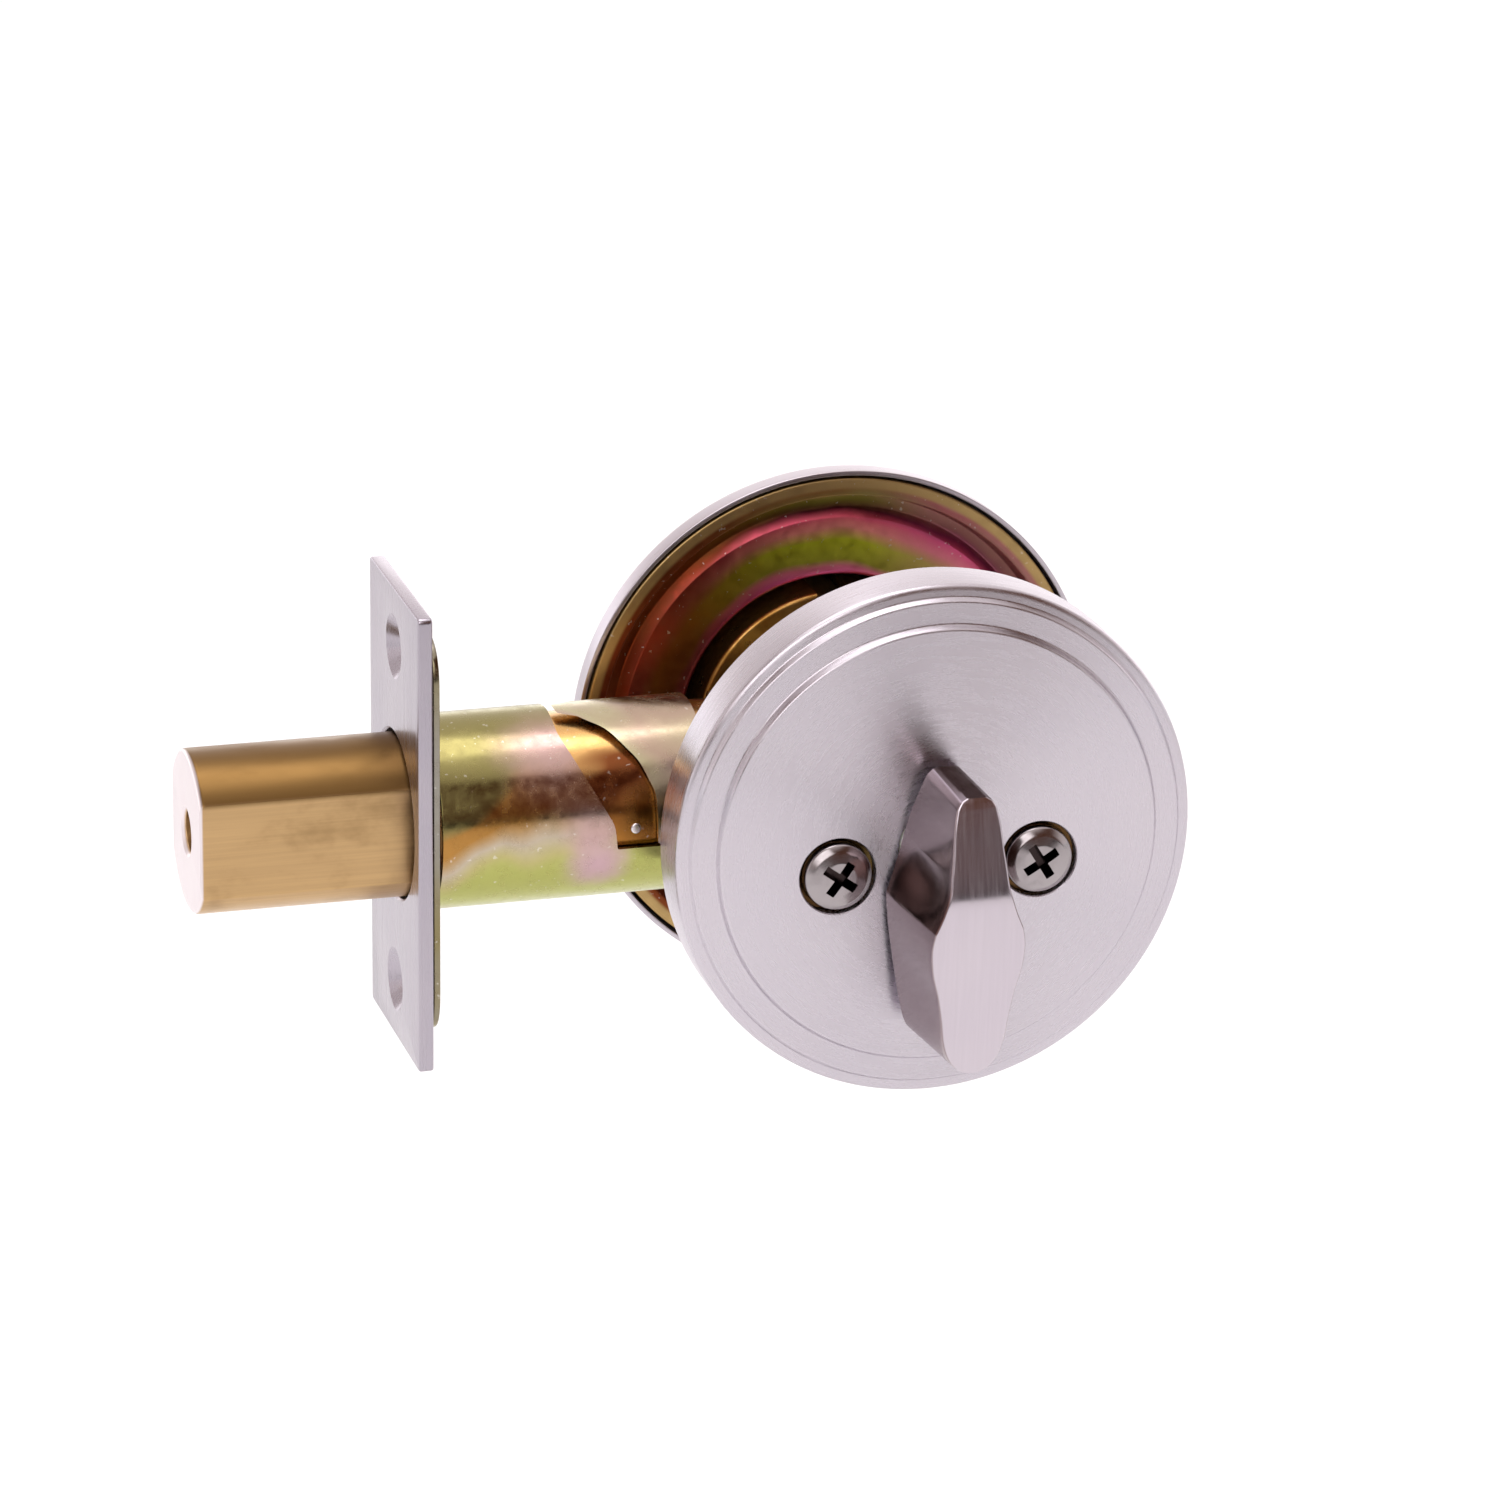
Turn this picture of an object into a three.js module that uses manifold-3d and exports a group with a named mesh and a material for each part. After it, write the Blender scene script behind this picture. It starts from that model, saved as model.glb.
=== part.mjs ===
// A single-cylinder deadbolt door lock with its bolt thrown, in millimetres.
// The hub axis is Y and the bolt axis is X. They cross at the origin, the centre of the door's cross bore.
// -X points out of the door's edge, -Y into the room, +Y to the street and +Z up.

import * as THREE from 'three';
import { mergeVertices } from 'three/addons/utils/BufferGeometryUtils.js';
import Module from 'manifold-3d';

const wasm = await Module();
wasm.setup();

// ---------------------------------------------------------------- driving dimensions

const DOOR_THICKNESS = 35;
const BACKSET = 60.3;
const THROW = 25.4;
const GAP = 0.3;
const DOOR_FACE = DOOR_THICKNESS / 2;

const ROUND = 48;
const TUBE_SIDES = 36;
const SMALL_SIDES = 16;
const TINY_SIDES = 7;

const rose = { radius: 32, wall: 1.2, sideFront: 23.4, discFront: 26.3, hubHole: 5.1 };
const step = { discRadius: 27.1, ledge: 29.9, drop: 0.9, run: 0.4, rimDrop: 1.8 };
const screw = { x: 12.5, z: -2.8, headRadius: 4.4, shank: 2.4, length: 54, seat: 24.8 };
const screwHoles = { rose: 4.8, clearance: 2.9 };
const shaft = { radius: 3.8, rear: 18.4, grooveRadius: 3.0, clipFront: 20.6, clipBack: 19.4 };
const blade = { width: 5, thickness: 1.5, slotWidth: 5.6, slotThickness: 2.1, front: 23.4 };

const plate = { thickness: 1.8, halfWidth: 12.7, halfHeight: 28.6, screwZ: 21.25, screwHole: 2.3, sink: 3.9 };
const backPlate = { thickness: 0.8, halfWidth: 11.6, halfHeight: 25 };
const bolt = { radius: 9.94, flat: 8, hole: 10.3, bore: 2.6, boreDepth: 27.7, length: 35.2 };
const tube = { inner: 11.1, outer: 11.8, coreInner: 10.15, coreOuter: 10.85, coreEnd: -20, rearEnd: -24 };
const tail = { near: 1.9, far: 3.9, barTop: -6.9, barBottom: -8.9, legHalfWidth: 4.6, slotHalfWidth: 2.7 };
const tailRivet = { inset: 3, radius: 1.4, holeRadius: 1.7, halfLength: 7.6 };
const crank = { radius: 18, hub: 6.4, trunnion: 5.2, arm: 3, pin: 2, halfLength: 7.5, shoulder: 5.3 };
const channel = { inside: 5.7, outside: 7.1, top: 10.4, web: 1.4, bottom: -6.5, right: 9.5, tongue: 6.3 };

const collar = { radius: 33.3, front: 37.2, opening: 18 };
const ring = { lipOuter: 32.3, lipInner: 31.2, bandInner: 28, faceOuter: 27.2, hole: 20.4, wall: 1.1 };
const cylinder = { radius: 17.4, rear: 18.6, flange: 19.6, flangeBack: 37.5, front: 39.4, bore: 6.6 };
const plug = { radius: 6.3, rear: 16, front: 39.2, recess: 5, recessFloor: 18, clipGroove: 5.7 };
const chamber = { count: 5, first: 35, pitch: 3.6, radius: 1.55, pin: 1.25, top: 14.6 };

const plateFront = -BACKSET;
const plateBack = plateFront + plate.thickness;
const backPlateFront = plateBack + GAP;
const tubeStart = backPlateFront + backPlate.thickness + GAP;
const boltFront = plateFront - THROW;
const boltRear = boltFront + bolt.length;
const pinX = -THROW / 2;
const pinZ = -Math.sqrt(crank.radius ** 2 - pinX ** 2);

// ---------------------------------------------------------------- materials

function finish(color, roughness, metalness) {
  return new THREE.MeshStandardMaterial({ color, roughness, metalness });
}

const satinChrome = finish(0xc4bec6, 0.34, 1);
const brass = finish(0xb8925c, 0.32, 1);
const zincYellow = finish(0xb9b070, 0.38, 1);
const zincRose = finish(0xb27a86, 0.4, 1);
const zincAmber = finish(0x9a6a34, 0.4, 1);
const brightSteel = finish(0xd2d2d6, 0.25, 1);
const springSteel = finish(0x8c8f96, 0.35, 1);
const nylon = finish(0xe8e4da, 0.55, 0);

// ---------------------------------------------------------------- solids and booleans

function toSolid(geometry) {
  const bare = geometry.clone();
  bare.deleteAttribute('normal');
  bare.deleteAttribute('uv');
  const merged = mergeVertices(bare, 1e-4);
  const corners = [];
  for (let i = 0; i < merged.index.count; i += 3) {
    const [a, b, c] = [0, 1, 2].map((k) => merged.index.getX(i + k));
    if (a !== b && b !== c && c !== a) corners.push(a, b, c);
  }
  const vertProperties = new Float32Array(merged.attributes.position.array);
  return new wasm.Manifold(new wasm.Mesh({ numProp: 3, vertProperties, triVerts: new Uint32Array(corners) }));
}

function toGeometry(solid) {
  const mesh = solid.getMesh();
  const geometry = new THREE.BufferGeometry();
  geometry.setAttribute('position', new THREE.BufferAttribute(mesh.vertProperties, mesh.numProp));
  geometry.setIndex(new THREE.BufferAttribute(mesh.triVerts, 1));
  geometry.computeVertexNormals();
  return geometry;
}

function join(first, ...others) {
  return toGeometry(others.reduce((sum, other) => sum.add(toSolid(other)), toSolid(first)));
}

function cut(body, ...tools) {
  return toGeometry(tools.reduce((rest, tool) => rest.subtract(toSolid(tool)), toSolid(body)));
}

function common(first, second) {
  return toGeometry(toSolid(first).intersect(toSolid(second)));
}

// ---------------------------------------------------------------- shape helpers

// A closed profile of [radius, height] points turned about Y.
function turned(profile, sides = ROUND) {
  const points = profile.map(([r, y]) => new THREE.Vector2(r, y));
  points.push(points[0].clone());
  if (THREE.ShapeUtils.area(points) < 0) points.reverse();
  return new THREE.LatheGeometry(points, sides);
}

function pipe(inner, outer, from, to, sides = ROUND) {
  return turned([[inner, from], [outer, from], [outer, to], [inner, to]], sides);
}

// Turns a geometry made about Y so that its axis is X, with Y heights becoming X positions.
function alongX(geometry) {
  return geometry.rotateZ(-Math.PI / 2);
}

// The same, with Y heights becoming Z positions.
function alongZ(geometry) {
  return geometry.rotateX(Math.PI / 2);
}

function block(x0, x1, y0, y1, z0, z1) {
  const box = new THREE.BoxGeometry(x1 - x0, y1 - y0, z1 - z0);
  return box.translate((x0 + x1) / 2, (y0 + y1) / 2, (z0 + z1) / 2);
}

function outline(points) {
  return new THREE.Shape(points.map(([a, b]) => new THREE.Vector2(a, b)));
}

// A shape drawn in (x, z), as seen from the room, extruded from y0 to y1.
function slabY(shape, y0, y1, curveSegments = SMALL_SIDES) {
  const slab = new THREE.ExtrudeGeometry(shape, { depth: y1 - y0, bevelEnabled: false, curveSegments });
  return slab.rotateX(Math.PI / 2).translate(0, y1, 0);
}

// A shape drawn in (y, z) extruded from x0 to x1.
function slabX(shape, x0, x1, curveSegments = SMALL_SIDES) {
  const slab = new THREE.ExtrudeGeometry(shape, { depth: x1 - x0, bevelEnabled: false, curveSegments });
  const axes = [new THREE.Vector3(0, 1, 0), new THREE.Vector3(0, 0, 1), new THREE.Vector3(1, 0, 0)];
  return slab.applyMatrix4(new THREE.Matrix4().makeBasis(...axes)).translate(x0, 0, 0);
}

function rodY(radius, y0, y1, x = 0, z = 0, sides = SMALL_SIDES) {
  return new THREE.CylinderGeometry(radius, radius, y1 - y0, sides).translate(x, (y0 + y1) / 2, z);
}

function rodX(radius, x0, x1, y = 0, z = 0, sides = SMALL_SIDES) {
  return alongX(new THREE.CylinderGeometry(radius, radius, x1 - x0, sides)).translate((x0 + x1) / 2, y, z);
}

function rodZ(radius, z0, z1, x = 0, y = 0, sides = SMALL_SIDES) {
  return alongZ(new THREE.CylinderGeometry(radius, radius, z1 - z0, sides)).translate(x, y, (z0 + z1) / 2);
}

// A pie slice about Y between two angles measured from +X towards +Z.
function sectorY(inner, outer, fromDegrees, toDegrees, y0, y1) {
  const [from, to] = [fromDegrees, toDegrees].map(THREE.MathUtils.degToRad);
  const shape = new THREE.Shape();
  shape.absarc(0, 0, outer, from, to, false);
  shape.absarc(0, 0, inner, to, from, true);
  return slabY(shape, y0, y1, TINY_SIDES);
}

// ---------------------------------------------------------------- assembly

const lock = new THREE.Group();
const interior = new THREE.Group();
const boltAssembly = new THREE.Group();
const exterior = new THREE.Group();
lock.add(interior, boltAssembly, exterior);

function piece(group, name, geometry, material, position = [0, 0, 0], turnY = 0) {
  const mesh = new THREE.Mesh(toGeometry(toSolid(geometry)), material);
  mesh.name = name;
  mesh.position.set(...position);
  mesh.rotation.y = turnY;
  group.add(mesh);
}

// ---------------------------------------------------------------- room side

// A shallow cup with two rounded steps on its face, open to the door.
function roseCup() {
  const { radius, wall, sideFront, discFront, hubHole } = rose;
  const { discRadius, ledge, drop, run, rimDrop } = step;
  const front = -discFront;
  const inside = front + wall;
  return turned([
    [hubHole, front], [discRadius - run, front], [discRadius, front + drop / 4],
    [discRadius + run, front + drop], [ledge, front + drop], [ledge + 0.6, front + rimDrop - 0.2],
    [radius - 0.6, front + rimDrop], [radius, -sideFront], [radius, -DOOR_FACE],
    [radius - wall, -DOOR_FACE], [radius - wall, -sideFront + 0.6],
    [ledge - 0.2, inside + drop], [discRadius - run, inside + drop],
    [discRadius - 2 * run, inside], [hubHole, inside],
  ]);
}

function interiorRose() {
  const screwHole = (x) => rodY(screwHoles.rose, -28, -24, x, screw.z, 28);
  return cut(roseCup(), screwHole(-screw.x), screwHole(screw.x));
}

// The steel plate behind the rose that the screw heads bear on.
function roseLiner() {
  const screwHole = (x) => rodY(screwHoles.clearance, -26, -22, x, screw.z);
  const disc = pipe(rose.hubHole, 26, -screw.seat, -22.8, TUBE_SIDES);
  const window = (side) => sectorY(9, 21, side * 90 - 32, side * 90 + 32, -26, -22);
  return cut(disc, screwHole(-screw.x), screwHole(screw.x), window(1), window(-1));
}

function turnBushing() {
  const [bore, outside, flange] = [4.1, rose.hubHole - GAP, 7];
  const [front, flangeFront, rear] = [-26.2, -22.5, -21.7];
  return turned([
    [bore, front], [outside, front], [outside, flangeFront],
    [flange, flangeFront], [flange, rear], [bore, rear],
  ], 24);
}

// Sections of the lever from its top end to its tip: height, half-width at the front,
// half-width at the back, front depth and back depth.
const LEVER_SECTIONS = [
  [11.0, 1.7, 1.5, 40.2, 28.6],
  [9.3, 2.7, 2.7, 40.5, 27.8],
  [5.0, 3.1, 4.2, 41.4, 27.4],
  [1.6, 3.5, 4.9, 42.2, 27.2],
  [-1.6, 3.9, 6.0, 42.9, 27.2],
  [-3.2, 4.8, 6.6, 42.9, 27.2],
  [-5.0, 5.5, 6.75, 42.7, 27.3],
  [-7.5, 5.8, 6.7, 42.5, 27.4],
  [-10.0, 5.5, 6.4, 42.2, 27.6],
  [-13.0, 4.7, 5.85, 41.9, 27.8],
  [-16.0, 4.2, 5.5, 41.6, 28.1],
  [-19.0, 3.8, 5.15, 41.3, 28.5],
  [-21.3, 3.0, 4.7, 41.1, 28.9],
  [-22.6, 1.9, 3.8, 41.0, 29.2],
  [-23.3, 0.9, 2.4, 40.9, 29.4],
];

// A grid of 2 x 2 x n cells whose layers are moved onto the lever's sections, with a small front chamfer.
function leverGrip() {
  const chamfer = 0.5;
  const layers = LEVER_SECTIONS.length - 1;
  const grid = new THREE.BoxGeometry(2, 2, layers, 2, 2, layers);
  const position = grid.attributes.position;
  for (let i = 0; i < position.count; i += 1) {
    const across = position.getX(i);
    const depth = Math.round(position.getY(i)) + 1;
    const [z, frontHalf, backHalf, front, back] = LEVER_SECTIONS[Math.round(layers / 2 - position.getZ(i))];
    const halfWidth = [frontHalf - chamfer / 2, frontHalf + chamfer / 3, backHalf][depth];
    const y = [front, front - chamfer, back][depth];
    position.setXYZ(i, across * halfWidth, -y, z);
  }
  return grid;
}

// The lever, the boss under it and the slotted, grooved shaft behind it are one casting.
function turnPiece() {
  const boss = rodY(4.5, -27.7, -rose.discFront - GAP, 0, 0, 28);
  const shank = turned([
    [0, -28], [shaft.radius, -28], [shaft.radius, -shaft.clipFront], [shaft.grooveRadius, -shaft.clipFront],
    [shaft.grooveRadius, -shaft.clipBack], [shaft.radius, -shaft.clipBack], [shaft.radius, -shaft.rear],
    [0, -shaft.rear],
  ], 28);
  const [halfThin, halfWide] = [blade.slotThickness / 2, blade.slotWidth / 2];
  const slot = block(-halfThin, halfThin, -blade.front - GAP, 0, -halfWide, halfWide);
  return cut(join(leverGrip(), boss, shank), slot);
}

// A clip, open on one side, that sits in the shaft's groove.
function turnRetainer() {
  return sectorY(shaft.grooveRadius + GAP, 6.4, -60, 240, -shaft.clipFront + 0.25, -shaft.clipBack - 0.25);
}

function springWasher() {
  return turned([[4.2, -21.4], [4.2, -21.15], [6.6, -20.75], [6.6, -21.0]], 28);
}

// A Phillips screw about Y, its head's bearing face at y = 0 and its shank running to +Y.
function mountingScrew() {
  const { length } = screw;
  const body = turned([
    [0, -2.45], [2.0, -2.35], [3.4, -2.1], [4.1, -1.75], [screw.headRadius, -1.3], [screw.headRadius, 0],
    [screw.shank, 0], [screw.shank, length - 1.5], [1.3, length], [0, length],
  ], 24);
  const wing = (long, wide) => block(-long, long, -3, -0.9, -wide, wide);
  return cut(body, wing(2.3, 0.5), wing(0.5, 2.3));
}

function addInterior() {
  piece(interior, 'interior_rose', interiorRose(), satinChrome);
  piece(interior, 'rose_liner', roseLiner(), zincYellow);
  piece(interior, 'turn_bushing', turnBushing(), nylon);
  piece(interior, 'turn_piece', turnPiece(), satinChrome);
  piece(interior, 'turn_retainer', turnRetainer(), springSteel);
  piece(interior, 'turn_spring_washer', springWasher(), springSteel);
  const seat = -screw.seat - GAP;
  piece(interior, 'mounting_screw_left', mountingScrew(), brightSteel, [-screw.x, seat, screw.z], 0.62);
  piece(interior, 'mounting_screw_right', mountingScrew(), brightSteel, [screw.x, seat, screw.z], -0.55);
}

// ---------------------------------------------------------------- bolt and its tubes

function plateBlank(halfWidth, halfHeight, x0, x1, cornerRadius) {
  const r = cornerRadius;
  const shape = new THREE.Shape();
  shape.absarc(halfWidth - r, halfHeight - r, r, 0, Math.PI / 2, false);
  shape.absarc(-halfWidth + r, halfHeight - r, r, Math.PI / 2, Math.PI, false);
  shape.absarc(-halfWidth + r, -halfHeight + r, r, Math.PI, Math.PI * 1.5, false);
  shape.absarc(halfWidth - r, -halfHeight + r, r, Math.PI * 1.5, Math.PI * 2, false);
  return slabX(shape, x0, x1, 6);
}

function countersunkHole(z) {
  const sink = [[0, plateFront - 1], [plate.sink + 1, plateFront - 1], [plate.screwHole, plateBack - 0.2],
    [plate.screwHole, plateBack + 1], [0, plateBack + 1]];
  return alongX(turned(sink, SMALL_SIDES)).translate(0, 0, z);
}

function faceplate() {
  const blank = plateBlank(plate.halfWidth, plate.halfHeight, plateFront, plateBack, 0.5);
  const boltHole = rodX(bolt.hole, plateFront - 1, plateBack + 1, 0, 0, TUBE_SIDES);
  return cut(blank, boltHole, countersunkHole(plate.screwZ), countersunkHole(-plate.screwZ));
}

function backPlateSolid() {
  const [from, to] = [backPlateFront, backPlateFront + backPlate.thickness];
  const blank = plateBlank(backPlate.halfWidth, backPlate.halfHeight, from, to, 6);
  const boltHole = rodX(bolt.hole, from - 1, to + 1, 0, 0, TUBE_SIDES);
  const screwHole = (z) => rodX(2.8, from - 1, to + 1, 0, z);
  return cut(blank, boltHole, screwHole(plate.screwZ), screwHole(-plate.screwZ));
}

// A round bar with two flats, drilled from its end for the anti-saw pin and slotted at its rear for the tail.
function boltBar() {
  const bevel = 0.6;
  const bar = alongX(turned([
    [0, boltFront], [bolt.radius - bevel, boltFront], [bolt.radius, boltFront + bevel],
    [bolt.radius, boltRear], [0, boltRear],
  ], TUBE_SIDES));
  const reach = bolt.radius + 1;
  const flats = block(boltFront - 1, boltRear + 1, -bolt.flat, bolt.flat, -reach, reach);
  const bore = rodX(bolt.bore, boltFront - 1, boltFront + bolt.boreDepth);
  const slot = block(boltRear - 6.3, boltRear + 1, tail.near - GAP, tail.far + GAP, -reach, reach);
  const rivetHole = rodY(tailRivet.holeRadius, -reach, reach, boltRear - tailRivet.inset, 0);
  return cut(common(bar, flats), bore, slot, rivetHole);
}

function antiSawPin() {
  const from = boltFront + 1.5;
  const to = boltFront + bolt.boreDepth - 0.4;
  return alongX(turned([[0, from], [2, from], [2.3, from + 0.4], [2.3, to], [0, to]], SMALL_SIDES));
}

// A flat strip: a head riveted in the bolt, a bar along the bottom and a slotted leg round the crank pin.
function boltTail() {
  const headEnd = boltRear + 9.5;
  const legRight = pinX + tail.legHalfWidth;
  const legLeft = pinX - tail.legHalfWidth;
  const legCentre = -17.8;
  const shape = new THREE.Shape();
  shape.moveTo(boltRear - 6, 3.5);
  shape.lineTo(boltRear - 6, tail.barBottom);
  shape.lineTo(legLeft, tail.barBottom);
  shape.absarc(pinX, legCentre, tail.legHalfWidth, Math.PI, Math.PI * 2, false);
  shape.lineTo(legRight, tail.barTop);
  shape.lineTo(headEnd, tail.barTop);
  shape.lineTo(headEnd - 2, 3.5);
  const slot = new THREE.Path();
  slot.absarc(pinX, -12.2, tail.slotHalfWidth, 0, Math.PI, false);
  slot.absarc(pinX, legCentre, tail.slotHalfWidth, Math.PI, Math.PI * 2, false);
  shape.holes.push(slot);
  const rivetHole = rodY(tailRivet.holeRadius, 0, 6, boltRear - tailRivet.inset, 0);
  return cut(slabY(shape, tail.near, tail.far, 12), rivetHole);
}

// The tubes' slanted ends, drawn in (x, z) as seen from the room and cut straight through.
function frontTube() {
  const blank = alongX(pipe(tube.inner, tube.outer, tubeStart, tube.rearEnd, TUBE_SIDES));
  const away = outline([
    [-41.5, 13], [-41.7, 10.9], [-40.6, 8.6], [-38.8, 5.5], [-36.3, 1], [-35.6, -2.65],
    [-20, -2.65], [-20, 13],
  ]);
  return cut(blank, slabY(away, -15, 15));
}

function rearSleeve() {
  const blank = alongX(pipe(tube.inner, tube.outer, -41, tube.rearEnd, TUBE_SIDES));
  const keep = outline([
    [-40.6, 13], [-40.4, 11.75], [-38.4, 11.6], [-36.3, 10.9], [-33.8, 9.5], [-32.4, 7.6], [-30.9, 4.9],
    [-30.6, 3.2], [-30.6, -2.3], [-20, -2.3], [-20, 13],
  ]);
  return common(blank, slabY(keep, -15, 15));
}

const tubeRivet = { x: -33.2, angle: -2, radius: 0.7, proud: 0.2 };

function rivetAcrossTube(radius, from, to) {
  const rivet = rodY(radius, -to, -from, 0, 0, 12);
  return rivet.rotateX(THREE.MathUtils.degToRad(-tubeRivet.angle)).translate(tubeRivet.x, 0, 0);
}

function innerTube() {
  const blank = alongX(pipe(tube.coreInner, tube.coreOuter, tubeStart, tube.coreEnd, TUBE_SIDES));
  return cut(blank, rivetAcrossTube(tubeRivet.radius + GAP, 8, 13));
}

function tubeRivetSolid() {
  return rivetAcrossTube(tubeRivet.radius, tube.coreInner + 0.1, tube.coreOuter + tubeRivet.proud);
}

// ---------------------------------------------------------------- crank and its case

const spacers = { left: [-17, 6.8], right: [7.7, 5.6] };

// A folded channel, open below, with a tongue at its front that enters the inner tube.
function camCase() {
  const { inside, outside, top, web, bottom, right, tongue } = channel;
  const left = tube.coreEnd + GAP;
  const fold = outline([
    [-outside, bottom], [-inside, bottom], [-inside, top - web], [inside, top - web],
    [inside, bottom], [outside, bottom], [outside, top - 0.8], [outside - 0.8, top],
    [-outside + 0.8, top], [-outside, top - 0.8],
  ]);
  const prong = (y0, y1) => block(left - 4.9, left + 1, y0, y1, -tongue, tongue);
  const shell = join(slabX(fold, left, right), prong(-outside, -inside), prong(inside, outside));
  const across = (radius, x, z) => rodY(radius, -outside - 1, outside + 1, x, z, 20);
  return cut(
    shell, across(crank.trunnion + GAP, 0, 0), across(screwHoles.clearance + 0.1, -screw.x, screw.z),
    across(1.5, ...spacers.left), across(1.5, ...spacers.right),
  );
}

function caseSpacer() {
  const { inside, outside } = channel;
  const [shoulder, shank, head] = [inside - GAP, outside + GAP, outside + 1];
  return turned([
    [0, -head], [1.6, -head], [2.2, -shank], [1.2, -shank], [1.2, -shoulder], [1.6, -shoulder],
    [1.6, shoulder], [1.2, shoulder], [1.2, shank], [2.2, shank], [1.6, head], [0, head],
  ], 12);
}

// The drive hub: two trunnions, a shoulder with two detent flats, and the arm that carries the crank pin.
function crankHub() {
  const shoulder = rodY(crank.hub, -crank.shoulder, crank.shoulder, 0, 0, 40);
  const trunnions = rodY(crank.trunnion, -crank.halfLength, crank.halfLength, 0, 0, 32);
  const angle = Math.atan2(pinZ, pinX);
  const arm = new THREE.Shape();
  arm.absarc(crank.radius, 0, crank.arm + 0.6, -Math.PI / 2, Math.PI / 2, false);
  arm.lineTo(0, crank.arm + 1.6);
  arm.lineTo(0, -crank.arm - 1.6);
  const armSlab = slabY(arm, -1.5, 1.5, 10).rotateY(-angle);
  const flat = 5.9;
  const flats = [block(-9, 9, -9, 9, flat, 9), block(flat, 9, -9, 9, -9, 9)];
  const [halfThin, halfWide] = [blade.slotThickness / 2, blade.slotWidth / 2];
  const slot = block(-halfThin, halfThin, -9, 9, -halfWide, halfWide);
  const pinHole = rodY(crank.pin + GAP, -3, 3, pinX, pinZ);
  return cut(join(cut(shoulder, ...flats), trunnions, armSlab), slot, pinHole);
}

function crankPin() {
  const [front, shoulder, rear] = [-2.6, -1.8, 4.8];
  return turned([
    [0, front], [2.7, front], [2.9, shoulder], [crank.pin, shoulder], [crank.pin, rear - 0.4],
    [crank.pin - 0.4, rear], [0, rear],
  ], SMALL_SIDES);
}

// A bowed leaf under the channel's top that presses on the hub's flats.
function detentSpring() {
  const [centre, rise, half, steps] = [6.75, 1.8, 8, 10];
  const lower = [];
  const upper = [];
  for (let i = 0; i <= steps; i += 1) {
    const x = -half + (2 * half * i) / steps;
    const z = centre + rise * (x / half) ** 2 * (1.15 - 0.15 * (x / half) ** 2);
    lower.push([x, z]);
    upper.unshift([x, z + 0.45]);
  }
  return slabY(outline([...lower, ...upper]), -4, 4);
}

function addBoltAssembly() {
  piece(boltAssembly, 'faceplate', faceplate(), satinChrome);
  piece(boltAssembly, 'backplate', backPlateSolid(), zincYellow);
  piece(boltAssembly, 'bolt', boltBar(), brass);
  piece(boltAssembly, 'anti_saw_pin', antiSawPin(), springSteel);
  piece(boltAssembly, 'bolt_tail', boltTail(), zincYellow);
  const rivetBar = rodY(tailRivet.radius, -tailRivet.halfLength, tailRivet.halfLength);
  piece(boltAssembly, 'tail_rivet', rivetBar, brightSteel, [boltRear - tailRivet.inset, 0, 0]);
  piece(boltAssembly, 'front_tube', frontTube(), zincYellow);
  piece(boltAssembly, 'rear_sleeve', rearSleeve(), zincRose);
  piece(boltAssembly, 'inner_tube', innerTube(), zincAmber);
  piece(boltAssembly, 'tube_rivet', tubeRivetSolid(), brightSteel);
  piece(boltAssembly, 'cam_case', camCase(), zincYellow);
  for (const [side, [x, z]] of Object.entries(spacers)) {
    piece(boltAssembly, `case_spacer_${side}`, caseSpacer(), brightSteel, [x, 0, z]);
  }
  piece(boltAssembly, 'crank_hub', crankHub(), springSteel);
  piece(boltAssembly, 'crank_pin', crankPin(), brightSteel, [pinX, 0, pinZ]);
  piece(boltAssembly, 'detent_spring', detentSpring(), springSteel);
}

// ---------------------------------------------------------------- street side

// A tapered ring, widest at the door, with a rounded shoulder down to the cylinder's face.
function collarShell() {
  const { radius, front, opening } = collar;
  const bandBack = DOOR_FACE + 1.5;
  return turned([
    [radius, DOOR_FACE], [radius - 0.1, bandBack], [28.6, DOOR_FACE + 10.6], [24.2, front - 3.6],
    [23.2, front - 1.0], [22.0, front], [opening, front], [opening, front - 1.6], [20.8, front - 1.6],
    [22.2, front - 4.6], [27.4, DOOR_FACE + 9.5], [31.1, DOOR_FACE + 3.9], [radius - 0.7, bandBack + 0.2],
    [radius - 0.6, DOOR_FACE],
  ]);
}

// The pressed steel ring inside the collar: a lip, a sunk band, a raised face and a rolled hole edge.
function reinforcingRing() {
  const { lipOuter, lipInner, bandInner, faceOuter, hole, wall } = ring;
  const back = DOOR_FACE + 0.2;
  return turned([
    [lipOuter, back], [lipOuter, back + 1.2], [lipInner, back + 1.3], [lipInner - 0.6, back + 3.6],
    [bandInner - 1, back + 3.9], [faceOuter - 1.2, back + 3.1], [hole, back + 3.1],
    [hole - 0.7, back + 5.4], [hole - 1.8, back + 5.4], [hole - 1.1, back + 2.0],
    [faceOuter - 0.5, back + 2.0], [bandInner, back + 2.9], [lipInner - 1.6, back + 2.5],
    [lipInner - wall, back],
  ]);
}

function chamberDepth(index) {
  return chamber.first - chamber.pitch * index;
}

function eachChamber(make) {
  return Array.from({ length: chamber.count }, (_, index) => make(chamberDepth(index)));
}

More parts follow.
